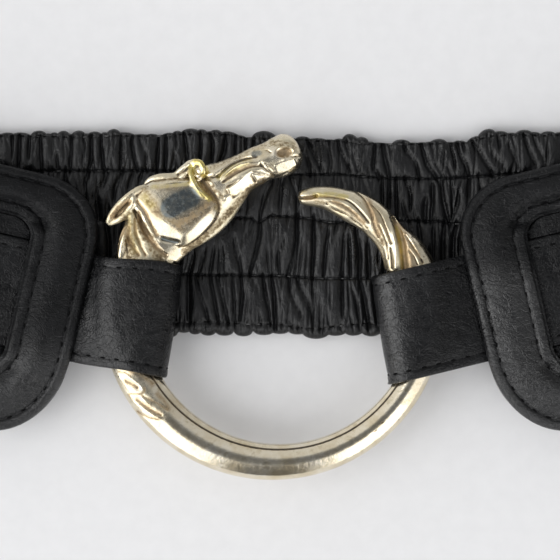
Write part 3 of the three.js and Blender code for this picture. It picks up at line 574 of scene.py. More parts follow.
# The deep creases, each along its length: (x, place across) points, half its width, its share of the
# full depth.
CREASES = [
    ([(-64.7, 23.4), (-64.6, 18.5)], 0.25, 0.8), ([(-63.0, 23.2), (-63.0, 15.8)], 0.42, 0.9),
    ([(-60.5, 23.6), (-60.7, 18.0)], 0.32, 0.85), ([(-57.9, 23.0), (-57.8, 19.4), (-57.4, 14.6)], 0.4, 0.95),
    ([(-54.9, 23.2), (-54.9, 19.0)], 0.3, 0.45), ([(-53.8, 18.2), (-53.3, 14.0)], 0.25, 0.75),
    ([(-52.2, 23.4), (-51.9, 18.0)], 0.3, 0.4), ([(-50.4, 23.4), (-50.3, 19.5), (-50.6, 14.8)], 0.28, 0.85),
    ([(-47.5, 23.6), (-47.1, 20.6)], 0.22, 0.7), ([(-45.6, 23.4), (-45.4, 17.4), (-46.4, 14.6)], 0.34, 0.95),
    ([(-45.3, 17.6), (-44.6, 14.8)], 0.2, 0.6), ([(-43.2, 23.6), (-42.8, 18.0), (-42.2, 14.8)], 0.36, 1.0),
    ([(-40.0, 23.8), (-40.0, 21.8)], 0.22, 0.5), ([(-38.2, 23.6), (-38.3, 19.0), (-38.3, 15.3)], 0.28, 0.8),
    ([(-35.4, 24.0), (-35.8, 22.2), (-35.2, 18.8), (-34.3, 15.4)], 0.28, 0.85),
    ([(-33.9, 23.2), (-33.0, 20.6), (-32.2, 19.4), (-32.0, 15.2)], 0.24, 0.55),
    ([(-29.2, 23.8), (-29.4, 18.0), (-29.5, 15.0)], 0.3, 0.9), ([(-27.4, 24.0), (-27.5, 15.4)], 0.36, 0.9),
    ([(-25.0, 24.2), (-24.7, 21.6)], 0.24, 0.5), ([(-25.4, 19.0), (-24.2, 15.8)], 0.24, 0.6),
    ([(-23.0, 24.2), (-22.6, 22.0), (-22.2, 17.4)], 0.4, 0.9),
    ([(-19.0, 24.6), (-18.9, 21.0), (-19.2, 17.6)], 0.3, 0.95),
    ([(-16.7, 24.4), (-16.0, 22.0), (-16.3, 17.6)], 0.34, 0.9),
    ([(-12.9, 23.4), (-13.2, 20.0), (-14.2, 17.4)], 0.5, 0.9), ([(-10.5, 23.6), (-10.6, 19.6)], 0.24, 0.8),
    ([(-8.0, 23.6), (-8.1, 20.4)], 0.28, 0.9), ([(-6.0, 23.8), (-6.2, 20.6)], 0.24, 0.8),
    ([(4.4, 21.4), (6.6, 19.0), (7.4, 16.4), (7.6, 14.6)], 0.3, 0.9),
    ([(6.6, 23.2), (8.0, 20.2), (9.2, 17.8), (10.0, 16.2)], 0.3, 0.95),
    ([(9.5, 23.0), (10.0, 21.0)], 0.2, 0.45),
    ([(12.3, 22.8), (11.9, 20.4), (12.6, 17.4), (12.2, 15.0)], 0.26, 0.65),
    ([(14.2, 23.0), (14.6, 20.6), (15.8, 18.2), (16.8, 16.6), (17.0, 15.4)], 0.3, 0.95),
    ([(16.0, 23.2), (16.4, 21.0), (17.2, 19.6)], 0.26, 0.6),
    ([(17.8, 20.0), (18.4, 18.0), (19.2, 15.0)], 0.4, 0.45),
    ([(23.3, 21.6), (23.0, 18.0), (22.7, 15.8), (23.8, 14.8), (24.2, 13.4)], 0.36, 0.95),
    ([(25.1, 21.6), (25.6, 18.4), (26.2, 15.8), (26.6, 13.6)], 0.5, 1.0),
    ([(30.2, 22.0), (30.6, 20.2), (32.0, 18.4), (33.2, 17.0), (33.6, 14.6), (33.9, 13.2)], 0.32, 0.95),
    ([(34.4, 21.6), (35.2, 18.8), (35.8, 16.4), (37.4, 14.4), (38.8, 12.2)], 0.45, 1.0),
    ([(38.0, 16.6), (39.2, 14.6), (39.8, 13.4)], 0.28, 0.6),
    ([(41.7, 21.0), (42.3, 18.6), (42.6, 16.0)], 0.3, 0.8), ([(40.8, 16.0), (42.0, 13.6)], 0.25, 0.6),
    ([(43.2, 21.2), (44.0, 18.6), (45.2, 16.4), (46.0, 13.0)], 0.42, 0.95),
    ([(44.6, 21.6), (44.9, 20.0)], 0.3, 0.7),
    ([(46.6, 22.4), (48.8, 19.0), (50.0, 16.8), (51.6, 14.2)], 0.36, 1.0),
    ([(53.2, 23.4), (53.5, 20.6)], 0.3, 0.8), ([(51.6, 18.8), (53.2, 17.0), (54.2, 16.0)], 0.3, 0.85),
    ([(55.8, 20.8), (57.0, 18.0), (57.8, 16.0)], 0.42, 0.7),
    ([(59.4, 23.0), (60.4, 20.0), (61.2, 18.0), (62.0, 16.0)], 0.34, 0.9),
    ([(61.6, 23.2), (62.4, 21.0), (64.2, 17.0)], 0.3, 0.7), ([(24.9, 13.4), (24.9, 7.0)], 0.34, 0.9),
    ([(26.6, 14.0), (26.5, 6.5)], 0.34, 0.95), ([(28.3, 13.2), (28.4, 3.6)], 0.3, 0.95),
    ([(30.4, 13.0), (31.6, 10.4), (31.8, 8.0), (31.6, 6.0)], 0.3, 0.9),
    ([(29.8, 7.2), (30.4, 4.6), (31.4, 2.8)], 0.34, 0.8),
    ([(37.2, 11.6), (37.0, 9.2), (35.6, 8.2), (35.2, 6.6), (35.2, 3.2)], 0.55, 0.95),
    ([(37.2, 8.6), (36.8, 5.6), (36.6, 3.0)], 0.45, 0.9),
    ([(39.2, 12.6), (39.6, 8.0), (40.2, 5.0), (41.2, 2.0)], 0.5, 1.0),
    ([(41.6, 11.8), (42.0, 9.0), (41.8, 5.0)], 0.36, 0.6),
    ([(43.4, 9.2), (42.8, 6.6), (41.6, 3.6)], 0.45, 0.8), ([(46.0, 13.2), (45.8, 8.6)], 0.4, 0.85),
    ([(20.2, 13.6), (21.6, 9.6)], 0.5, 0.4), ([(2.6, 14.0), (4.4, 9.4), (4.5, 4.6)], 0.3, 0.8),
    ([(-1.6, 13.0), (-3.4, 9.6), (-4.6, 4.4)], 0.32, 0.8), ([(5.2, 13.6), (4.8, 9.6)], 0.26, 0.7),
    ([(0.6, 13.4), (0.2, 5.2)], 0.26, 0.6), ([(-41.4, 14.8), (-42.6, 11.6), (-44.8, 9.4)], 0.4, 0.85),
    ([(-37.6, 15.0), (-39.4, 11.6), (-39.8, 8.4)], 0.34, 0.85), ([(-46.0, 14.6), (-47.0, 11.6)], 0.4, 0.9),
    ([(-35.2, 14.8), (-36.4, 11.2)], 0.3, 0.7), ([(-33.0, 15.0), (-33.8, 12.8)], 0.3, 0.7),
    ([(-44.0, 8.4), (-43.4, 4.0)], 0.5, 0.8), ([(-41.2, 7.0), (-41.0, 3.4)], 0.4, 0.6),
    ([(-20.4, -5.0), (-21.6, -9.6)], 0.32, 0.9), ([(-17.8, -4.2), (-19.4, -9.6)], 0.32, 0.9),
    ([(-15.6, -3.2), (-16.6, -9.6)], 0.3, 0.8), ([(-14.2, -3.6), (-14.4, -9.6)], 0.25, 0.7),
    ([(-13.7, -3.0), (-13.4, -9.4)], 0.22, 0.6), ([(-10.8, -1.8), (-9.6, -6.0), (-9.0, -9.6)], 0.34, 0.85),
    ([(-4.6, 4.4), (-4.6, 0.0), (-5.6, -4.3), (-7.0, -9.4)], 0.34, 1.0),
    ([(-6.4, 3.4), (-7.4, 0.4), (-9.0, -1.6)], 0.3, 0.6),
    ([(-1.0, 4.4), (-1.1, 0.0), (-1.7, -4.0)], 0.16, 0.4), ([(-2.8, -3.6), (-2.4, -9.4)], 0.26, 0.7),
    ([(-1.8, -4.0), (-1.6, -9.4)], 0.2, 0.6), ([(1.2, -1.4), (-0.3, -5.0), (0.1, -9.4)], 0.26, 0.8),
    ([(4.3, 4.4), (4.3, -1.2), (3.5, -5.9), (2.0, -9.6)], 0.38, 1.0), ([(4.4, -1.0), (3.8, -9.6)], 0.24, 0.7),
    ([(8.3, 4.2), (8.3, -3.4), (7.9, -10.0)], 0.38, 1.0), ([(5.6, -2.4), (4.7, -9.6)], 0.26, 0.6),
    ([(6.9, -3.0), (6.3, -9.8)], 0.2, 0.5), ([(11.9, 0.6), (11.3, -3.0), (10.7, -9.8)], 0.34, 0.85),
    ([(14.0, 2.6), (13.2, -0.6), (12.2, -2.4)], 0.36, 0.6), ([(15.7, -0.4), (15.1, -9.8)], 0.28, 0.7),
    ([(16.9, -0.4), (17.2, -9.8)], 0.26, 0.75), ([(18.6, 1.0), (19.5, -4.6), (19.3, -9.8)], 0.4, 0.95),
    ([(21.4, -2.6), (21.6, -9.8)], 0.45, 0.9),
    ([(-20.0, -10.2), (-19.5, -12.8), (-17.9, -17.2), (-16.8, -20.8)], 0.28, 0.85),
    ([(-21.7, -9.8), (-21.5, -21.0)], 0.6, 0.9),
    ([(-18.7, -10.2), (-17.6, -13.4), (-17.0, -15.0)], 0.22, 0.5),
    ([(-16.5, -10.2), (-15.4, -16.2), (-14.5, -20.8)], 0.28, 0.9),
    ([(-14.9, -10.4), (-13.4, -15.6), (-12.1, -21.2)], 0.28, 0.9),
    ([(-12.6, -10.0), (-12.0, -16.0)], 0.2, 0.4),
    ([(-11.2, -10.2), (-10.8, -15.4), (-10.3, -23.0)], 0.26, 0.85),
    ([(-9.2, -9.8), (-8.7, -14.0), (-9.4, -20.2)], 0.34, 0.95), ([(-6.4, -10.2), (-5.0, -13.0)], 0.25, 0.4),
    ([(-7.4, -15.0), (-8.2, -20.8)], 0.22, 0.5),
    ([(-3.9, -9.8), (-3.4, -13.4), (-2.5, -17.4), (-2.0, -21.4)], 0.28, 0.9),
    ([(-1.8, -10.0), (-1.2, -14.6), (-1.0, -19.4), (-0.8, -24.0)], 0.34, 1.0),
    ([(0.8, -10.0), (0.6, -12.6)], 0.2, 0.5),
    ([(2.5, -10.0), (2.7, -13.4), (4.0, -17.0), (5.2, -19.0)], 0.3, 0.9),
    ([(4.3, -10.6), (5.5, -13.4), (7.5, -17.0), (8.0, -20.6)], 0.3, 0.95),
    ([(8.1, -10.6), (8.1, -22.6)], 0.2, 0.7), ([(2.6, -16.6), (2.0, -20.4)], 0.24, 0.45),
    ([(9.8, -16.6), (9.8, -23.0)], 0.2, 0.65), ([(11.6, -10.6), (11.5, -14.0)], 0.2, 0.4),
    ([(15.1, -9.8), (15.2, -19.0)], 0.26, 0.9), ([(16.5, -10.6), (16.9, -17.0)], 0.22, 0.45),
    ([(17.4, -13.0), (18.5, -15.6), (19.2, -21.0)], 0.28, 0.7),
    ([(19.2, -10.2), (20.1, -14.0), (20.8, -18.2), (21.4, -22.0)], 0.45, 1.0),
    ([(22.4, -11.0), (23.0, -16.0), (23.4, -21.0)], 0.34, 0.7),
]
# Where the creases above are the main ones: from x to x, one pair for each channel between two rows.
CREASED_BY_HAND = [(-24.0, 24.0), (-22.5, 23.5), (-46.5, 47.5), (-66.0, 66.0)]
FULL_DEPTH = 1.85
TOP_OF_PLEATS = 2.52
STITCH_PINCH = 0.42
EDGE_GRIP = 0.4  # the pinch of the outermost rows, as a share of the others'
PINCH_HALF = 0.2
ROW_DIP = 0.3  # how deep the leather dips towards a row, and how far that is felt
ROW_DIP_REACH = 1.1
ROW_WANDER = 0.12
# How high the leather is uneven over its pleats, from wide to fine; the finest only near the hems.
MOUND = 0.2
SMALL_MOUND = 0.09
CRUMPLE = 0.26
CRUMPLE_REACH = 1.4
# A crease: how far it is felt, and over how far it dies out past its ends; how wide it is at its ends and
# how much wider in the middle; the shares of its sharp cut and of the dip round it; what a crossing adds.
CREASE_REACH = 2.6
CREASE_FADE = 0.9
CREASE_ENDS = 0.62
CREASE_WIDER = 0.4
CREASE_CUT = 0.62
CREASE_DIP = 0.38
CREASE_CROSSING = 0.25
# How the cut falls off, how wide the dip is beside it (a share of the crease, and more), and the deepest.
CUT_SHAPE = 1.4
DIP_SHARE = 1.6
DIP_MORE = 0.55
CREASE_DEEPEST = 1.1
# The creases that are drawn at random: steps between them, half widths, shares of the full depth, how many
# of the long ones go from row to row, and how far they lean and bow; the short ones lean with their length.
LONG_CREASES = {
    "step": (1.1, 3.0), "half": (0.24, 0.45), "share": (0.6, 1.0), "whole": 0.7, "lean": 0.7, "bow": 0.45,
}
SHORT_CREASES = {"step": (0.6, 2.3), "half": (0.14, 0.26), "share": (0.15, 0.5), "lean": 0.16}
SHORT_LENGTHS = [1.2, 2.2, 3.6, 6.0]
SHORT_ODDS = [0.35, 0.3, 0.2, 0.15]
HEM_CREASE_LENGTH = 2.0
# Bumps along the edges: how round they are, how the listed puffs overlap, and size, overlap and step of
# those drawn at random.
BUMP_ROUNDNESS = 0.55
PUFF_OVERLAP = 1.15
BUMP_SIZES = (0.6, 1.35)
BUMP_OVERLAP = 1.08
BUMP_STEP = 0.92
PUFFS_FROM = 0.28  # how far the leather stands out past the top row between the puffs
SCALLOPS_FROM = 23.35  # how far across the lower edge lies between the scallops
# Those drawn at random: between which ends the listed ones lie, the mean half width, and the reach.
SCALLOPS_BEYOND = {"seed": 31, "ends": (-27, 28), "step": 1.9, "low": 23.9, "high": 24.9}
PUFFS_BEYOND = {"seed": 32, "ends": (-67.6, 67), "step": 1.5, "low": 0.5, "high": 1.8}
# How high a face stands off the band's middle at least, and on the inner face; how much lower the inner one
# is, and how deep its creases are where it lies flat.
LEAST_HEIGHT = 0.3
INNER_LEAST_HEIGHT = 0.2
INNER_LOWER = 0.55
FLAT_CREASES = 0.3
BAND_SHARES = [0.0, 0.012, 0.028, 0.052, 0.09, 0.15, 0.225, 0.31, 0.4, 0.5]
HEM_SHARES = [0.0, 0.14, 0.3, 0.5, 0.7, 0.86, 0.96]
UNDER_SHARES = [0.0, 0.02, 0.08, 0.3, 0.5]
UNDER_HEM_SHARES = [0.0, 0.5, 0.85]
# Columns along each half of the band: close ones as far as the pleats that show, wider ones beyond.
FINE_TO = 67.5
FINE_COLUMNS = 301
OUTER_COLUMNS = 103


def band_run(s):
    """Places along the band's middle surface, s from the middle of the back, with how it lies there."""
    joint_x, joint_y = in_plan(PANEL_LENGTH - BAND_TUCK, PANEL_MIDDLE_V)
    t = np.abs(s)
    fold_end = FOLD_X + math.pi * FOLD_RADIUS
    reach = FOLD_X - joint_x
    fold_heading = math.atan(2 * BACK_BEND * FOLD_X)
    turn = np.clip((t - FOLD_X) / FOLD_RADIUS, 0, math.pi)
    forward = np.clip((t - fold_end) / reach, 0, 1)
    ease = smooth(forward)
    back_x = np.minimum(t, FOLD_X)
    out = FOLD_RADIUS * np.sin(turn)
    x = np.where(forward > 0, FOLD_X - reach * forward, back_x + out * math.cos(fold_heading))
    straight_y = back_middle_y(FOLD_X) - math.tan(fold_heading) * reach * forward
    joint_line_y = joint_y + math.tan(PANEL_TURN) * reach * (1 - forward)
    front_y = straight_y * (1 - ease) + joint_line_y * ease
    y = np.where(forward > 0, front_y, back_middle_y(back_x) + out * math.sin(fold_heading))
    z = BAND_WALL / 2 + FOLD_RADIUS * (1 - np.cos(turn))
    heading = np.arctan(2 * BACK_BEND * back_x)
    heading = np.where(forward > 0, fold_heading + (PANEL_TURN - fold_heading) * forward, heading)
    lying = np.where(turn > 0, 1 - smooth(2 * turn / math.pi), 1.0)
    pressed = smooth((forward - PRESS_FROM) / PRESS_OVER)
    return {
        "x": x, "y": y, "z": z, "heading": heading, "turn": turn, "side": np.where(s < 0, -1.0, 1.0),
        "lying": lying, "forward": forward, "ease": ease, "pressed": pressed,
    }


def row_across(number, s):
    table = np.array(STITCHED_ROWS[number], float)
    return np.interp(s, table[:, 0], table[:, 1]) + ROW_WANDER * wander(s, seed=71 + number, step=4)


def domes(s, bumps, floor):
    """The outline of a line of rounded bumps (place, half width, height), as heights over the floor."""
    height = np.full(len(s), floor)
    for place, half, rise in bumps:
        inside = np.clip(1 - ((s - place) / half) ** 2, 0, 1)
        dome = floor + (rise - floor) * inside**BUMP_ROUNDNESS
        height = np.maximum(height, np.where(inside > 0, dome, floor))
    return height


def more_bumps(end, seed, ends, step, low, high):
    """Bumps of the same kind for the lengths that are not listed."""
    rng = np.random.default_rng(seed)
    made = []
    for at, until in ((-end, ends[0]), (ends[1], end)):
        while at < until:
            half = step * rng.uniform(*BUMP_SIZES)
            made.append((at + half, half * BUMP_OVERLAP, rng.uniform(low, high)))
            at += 2 * half * BUMP_STEP
    return made


def more_creases(seed, end):
    """Creases between and beyond the listed ones: long ones where none is listed, short ones at every row."""
    rng = np.random.default_rng(seed)
    made = []
    for channel, (known_from, known_to) in enumerate(CREASED_BY_HAND):
        at = -end
        while at < end:
            at += rng.uniform(*LONG_CREASES["step"])
            if known_from < at < known_to:
                continue
            low, high = (row_across(row, np.array([at]))[0] for row in (channel, channel + 1))
            lean, bow = rng.normal(0, LONG_CREASES["lean"]), rng.normal(0, LONG_CREASES["bow"])
            whole = rng.random() < LONG_CREASES["whole"]
            first, last = (low, high) if whole else sorted(rng.uniform(low, high, 2))
            across = np.linspace(first, last, 4)
            share = (across - low) / (high - low)
            x = at + lean * share + bow * np.sin(math.pi * share)
            half, deep = rng.uniform(*LONG_CREASES["half"]), rng.uniform(*LONG_CREASES["share"])
            made.append((list(zip(x, across)), half, deep))
    for number in range(len(STITCHED_ROWS)):
        for way in (-1, 1):
            at = -end
            while at < end:
                at += rng.uniform(*SHORT_CREASES["step"])
                row = row_across(number, np.array([at]))[0]
                hem = (number == 0 and way < 0) or (number == len(STITCHED_ROWS) - 1 and way > 0)
                length = HEM_CREASE_LENGTH if hem else rng.choice(SHORT_LENGTHS, p=SHORT_ODDS)
                lean = rng.normal(0, SHORT_CREASES["lean"]) * length
                middle = (at + lean * 0.6, row + way * length * 0.5)
                points = [(at, row), middle, (at + lean, row + way * length)]
                half, deep = rng.uniform(*SHORT_CREASES["half"]), rng.uniform(*SHORT_CREASES["share"])
                made.append((points, half, deep))
    return made


def crease_depth(s, across, creases):
    """How deep each place lies in its creases, 0 to 1. across is one row of places for each column."""
    depth = np.zeros_like(across)
    for points, half, share in creases:
        points = sorted(points, key=lambda point: point[1])
        at = np.array([point[0] for point in points])
        rise = np.array([point[1] for point in points])
        first, last = np.searchsorted(s, (at.min() - CREASE_REACH, at.max() + CREASE_REACH))
        if first == last:
            continue
        w = across[:, first:last]
        centre = np.interp(w, rise, at)
        beyond = np.maximum(np.maximum(rise[0] - w, w - rise[-1]), 0)
        away = np.abs(s[first:last] - centre)
        along = np.clip((w - rise[0]) / (rise[-1] - rise[0] + 1e-6), 0, 1)
        wide = half * (CREASE_ENDS + CREASE_WIDER * np.sin(math.pi * along))
        dip = CREASE_DIP * np.exp(-away / (DIP_SHARE * wide + DIP_MORE))
        cut = CREASE_CUT * np.exp(-((away / wide) ** CUT_SHAPE)) + dip
        cut = share * cut * np.exp(-((beyond / CREASE_FADE) ** 2))
        known = depth[:, first:last]
        depth[:, first:last] = np.maximum(known, cut) + CREASE_CROSSING * np.minimum(known, cut)
    return np.clip(depth, 0, CREASE_DEEPEST)


def band_places(s, shares, hem_shares):
    """Columns across one face: how far across each place lies, how far from the nearest row, its
    roll-off towards the hem, and how firmly the nearest row pinches it."""
    top = len(STITCHED_ROWS) - 1
    rows = [row_across(number, s) for number in range(top + 1)]
    scallops = [(x, half, -reach) for x, half, reach in LOWER_SCALLOPS]
    scallops += more_bumps(s[-1], **SCALLOPS_BEYOND)
    low_edge = -domes(s, scallops, SCALLOPS_FROM)
    puffs = [(x, PUFF_OVERLAP * half, rise) for x, half, rise in TOP_PUFFS]
    puffs += more_bumps(s[-1], **PUFFS_BEYOND)
    high_edge = rows[top] + domes(s, puffs, PUFFS_FROM)
    across, near, roll, grip = [], [], [], []
    for share in reversed(hem_shares[1:]):
        across.append(rows[0] * (1 - share) + low_edge * share)
        near.append(rows[0] - across[-1])
        roll.append(np.full(len(s), math.sqrt(1 - share**3)))
        grip.append(EDGE_GRIP)
    for number in range(top):
        for share in shares[:-1] + [1 - share for share in reversed(shares[1:])]:
            across.append(rows[number] * (1 - share) + rows[number + 1] * share)
            near.append(np.minimum(across[-1] - rows[number], rows[number + 1] - across[-1]))
            roll.append(np.ones(len(s)))
            outermost = (number == 0 and share < 0.5) or (number == top - 1 and share > 0.5)
            grip.append(EDGE_GRIP if outermost else 1.0)
    for share in hem_shares:
        across.append(rows[top] * (1 - share) + high_edge * share)
        near.append(across[-1] - rows[top])
        roll.append(np.full(len(s), math.sqrt(1 - share**3)))
        grip.append(EDGE_GRIP)
    return np.array(across), np.array(near), np.array(roll), np.array(grip)[:, None]


def band_face(run, s, shares, hem_shares, face, creases):
    """Points of one face of the band, one row of points per column."""
    across, near, roll, grip = band_places(s, shares, hem_shares)
    depth = crease_depth(s, across, creases)
    spread = np.broadcast_to(s, across.shape)
    mound = MOUND * wander_over(spread, across, seed=8 + face, step_x=4.0, step_y=6.0)
    mound = mound + SMALL_MOUND * wander_over(spread, across, seed=11, step_x=1.1, step_y=2.2)
    crumple = CRUMPLE * wander_over(spread, across, seed=12, step_x=0.75, step_y=0.9)
    mound = mound + crumple * np.exp(-near / CRUMPLE_REACH) * (grip < 1)
    stitch_dent = STITCH_PINCH * np.exp(-((near / PINCH_HALF) ** 2))
    pinch = grip * (stitch_dent + ROW_DIP * np.exp(-near / ROW_DIP_REACH))
    height = (TOP_OF_PLEATS - FULL_DEPTH * depth + mound - pinch) * roll
    loose = 1 - run["pressed"]
    off = np.maximum(height, LEAST_HEIGHT * roll) * loose + BAND_END_WALL / 2 * roll * run["pressed"]
    if face > 0:
        flat = (BAND_WALL / 2 - FLAT_EDGE * (roll < 1)) - FLAT_CREASES * depth * roll
        off = (off - INNER_LOWER) * (1 - run["lying"]) + flat * run["lying"]
        off = np.maximum(off, INNER_LEAST_HEIGHT * roll)
    x = run["x"] - np.sin(run["heading"]) * across
    y = run["y"] + np.cos(run["heading"]) * across
    seat = height_at(x, y) + BACKING_WALL + GAP + BAND_END_WALL / 2
    z = np.where(run["forward"] > 0, run["z"] * (1 - run["ease"]) + seat * run["ease"], run["z"])
    sideways = face * off * np.sin(run["turn"])
    x = x + sideways * np.cos(run["heading"])
    y = y + sideways * np.sin(run["heading"])
    z = z - face * off * np.cos(run["turn"])
    return np.stack([x * run["side"], y, np.maximum(z, 0.02)], axis=-1)


def band_length():
    fold_end = FOLD_X + math.pi * FOLD_RADIUS
    joint_x, _ = in_plan(PANEL_LENGTH - BAND_TUCK, PANEL_MIDDLE_V)
    return fold_end + FOLD_X - joint_x


def gathered_band():
    """A fine grid, its places set on the pleats of both faces, closed along the edges into one band."""
    end = band_length()
    fine, outer = np.linspace(0, FINE_TO, FINE_COLUMNS), np.linspace(FINE_TO, end, OUTER_COLUMNS)
    half = np.concatenate([fine, outer[1:]])
    s = np.concatenate([-half[:0:-1], half])
    run = band_run(s)
    creases = CREASES + more_creases(seed=5, end=end)
    upper = band_face(run, s, BAND_SHARES, HEM_SHARES, -1, creases)
    under = band_face(run, s, UNDER_SHARES, UNDER_HEM_SHARES, 1, more_creases(seed=6, end=end))
    high_rim, low_rim = (upper[-1] + under[-1]) / 2, (upper[0] + under[0]) / 2
    around = np.concatenate([upper, high_rim[None], under[::-1], low_rim[None], upper[:1]])
    pick_nothing()
    across_count = len(around) - 1
    bpy.ops.mesh.primitive_grid_add(
        x_subdivisions=len(s) - 1, y_subdivisions=across_count, size=2 * end * MM,
    )
    piece = bpy.context.object
    piece.name = piece.data.name = "gathered_leather_band"
    place_points(piece, around)
    close_up(weld=BAND_SEAM)
    return piece, upper


# The front panels.

# Rows round the frame's section: the edge that it is counted from, how far from it, and the height
# above the underside ("under") or above the top ("top").
FRAME_ROWS = [
    ("out", 0.8, "under", 0.0),
    ("out", 0.2, "under", 0.12),
    ("out", 0.0, "under", 0.6),
    ("out", 0.0, "top", -2.0),
    ("out", 0.02, "top", -1.35),
    ("out", 0.15, "top", -0.85),
    ("out", 0.45, "top", -0.45),
    ("out", 0.9, "top", -0.18),
    ("out", 1.4, "top", -0.08),
    ("out", 1.9, "top", -0.14),
    ("out", 2.25, "top", -0.36),
    ("out", 2.5, "top", -0.64),
    ("out", 2.7, "top", -0.82),
    ("out", 2.9, "top", -0.64),
    ("out", 3.15, "top", -0.44),
    ("out", 3.6, "top", -0.28),
    ("mid", 0.12, "top", -0.06),
    ("mid", 0.27, "top", 0.2),
    ("mid", 0.42, "top", 0.36),
    ("mid", 0.57, "top", 0.38),
    ("mid", 0.72, "top", 0.16),
    ("mid", 0.87, "top", -0.2),
    ("window", 3.6, "top", -0.55),
    ("window", 3.15, "top", -0.76),
    ("window", 2.9, "top", -0.98),
    ("window", 2.7, "top", -1.16),
    ("window", 2.5, "top", -0.96),
    ("window", 2.1, "top", -0.76),
    ("window", 1.6, "top", -0.72),
    ("window", 1.1, "top", -0.74),
    ("window", 0.65, "top", -0.84),
    ("window", 0.3, "top", -1.02),
    ("window", 0.1, "top", -1.25),
    ("window", -0.1, "top", -1.6),
    ("window", -0.35, "top", -1.9),
    ("window", -0.7, "top", -2.06),
    ("window", -0.74, "top", -2.3),
    ("window", 0.0, "top", -2.5),
    ("window", 0.0, "under", 0.4),
    ("window", 0.3, "under", 0.0),
    ("window", 4.5, "under", 0.0),
    ("mid", 0.5, "under", 0.0),
    ("out", 5.5, "under", 0.0),
]
PANEL_STITCH_ROW = 12
WINDOW_STITCH_ROW = 25
STITCH_LINE_IN = 3.6
EDGE_ROLL = 2.6  # the width of the rolled edges, which are less uneven than the padding
EDGE_UNEVEN = 0.4  # how uneven they are, as a share of the padding
PADDING_SWELL = 0.16
PADDING_RIPPLE = 0.05
RAIL_EASE = 17.0  # over how long the frame's top comes down beside the strap
WINDOW_FILL = 2.3  # how far the lining swells up inside the window, beside the strap
WINDOW_EASE = 0.8  # over how far it does, from the window's edge
STRAP_EDGE_EASE = 0.14  # and from the strap's
STRAP_EDGE_COLUMNS = np.array([0.7, 0.5, 0.35, 0.22, 0.12, 0.05, 0.0])
# Places along the lining, close ones at its nose; and the rounding of its edges, as shares of its width.
LINING_STATIONS = np.concatenate([
    [0, 0.25, 0.7, 1.6, 2.8, 4.4, 6.5, 9, 12], np.linspace(14, 84, 100), np.linspace(86, 98.2, 8),
])
LINING_ROUNDING = (0.002, 0.012)
LINING_SWELL = 0.05
STITCH_PITCH = 3.8
STITCH_LENGTH = 1.35
STITCH_THICKNESS = 0.5
STITCH_RISE = np.array([0, 0, 0.06])
STITCH_WAY_REACH = 0.4  # how far to both sides of a stitch its way is taken


def outline(corners):
    """Points round an outline, each corner a quarter ellipse and each side straight."""
    points = []
    for k, (u, v, before, after) in enumerate(corners):
        at = np.array([u, v], float)
        previous = np.array(corners[k - 1][:2], float) - at
        following = np.array(corners[(k + 1) % len(corners)][:2], float) - at
        back = previous / np.linalg.norm(previous) * before
        ahead = following / np.linalg.norm(following) * after
        for i in range(CORNER_STEPS + 1):
            angle = math.pi / 2 * i / CORNER_STEPS
            points.append(at + back * (1 - math.sin(angle)) + ahead * (1 - math.cos(angle)))
        start = points[-1]
        next_before = corners[(k + 1) % len(corners)][2]
        end = at + following - following / np.linalg.norm(following) * next_before
        for i in range(1, SIDE_STEPS[k]):
            points.append(start + (end - start) * i / SIDE_STEPS[k])
    return np.array(points)


def under_lift(u, v):
    """How far the frame's underside is lifted over the strap and over the band's end."""
    over_strap = 1 - smooth((beside_strap(v) - STRAP_EASE) / RAIL_STEP)
    over_end = smooth((u - (PANEL_LENGTH - BAND_TUCK - RAIL_STEP)) / RAIL_STEP)
    return STRAP_ROOM * np.maximum(over_strap, over_end)


def frame_row(row, outer, inner):
    """Points of one row of the frame, all round it."""
    edge, distance, level, height = row
    way = inner - outer
    span = np.linalg.norm(way, axis=1)[:, None]
    way = way / span
    if edge == "out":
        p = outer + way * distance
    elif edge == "window":
        p = inner - way * distance
    else:
        near, far = outer + way * STITCH_LINE_IN, inner - way * STITCH_LINE_IN
        p = near + (far - near) * distance
    u, v = p[:, 0], p[:, 1]
    lift = under_lift(u, v)
    easing = 1 - smooth((beside_strap(v) - STRAP_EASE) / RAIL_EASE)
    eased = (STRAP_ROOM - RAIL_FILL) * easing * (edge != "window")
    fill = np.maximum(RAIL_FILL + eased, lift)
    if level == "under":
        above = lift + height
    else:
        swell = PADDING_SWELL * wander_over(u, v, seed=401, step_x=13, step_y=13)
        swell = swell + PADDING_RIPPLE * wander_over(u, v, seed=402, step_x=3.5, step_y=3.5)
        proud = 1.0 if EDGE_ROLL < distance or edge == "mid" else EDGE_UNEVEN
        above = FRAME_WALL + fill + height + swell * proud
    return front_points(u, v, BACKING_WALL + GAP + above)


def depth_inside(u, v, corners):
    """How far each place lies inside a convex outline, less than zero outside it."""
    line = outline(corners)
    following = np.roll(line, -1, axis=0)
    way = following - line
    keep = np.linalg.norm(way, axis=1) > 1e-6
    line, way = line[keep], way[keep]
    way /= np.linalg.norm(way, axis=1)[:, None]
    aside = way[:, 1] * (u[:, None] - line[:, 0]) - way[:, 0] * (v[:, None] - line[:, 1])
    return aside.min(axis=1)


def panel_rows():
    outer, inner = outline(PANEL_CORNERS), outline(WINDOW_CORNERS)
    return [frame_row(row, outer, inner) for row in FRAME_ROWS]


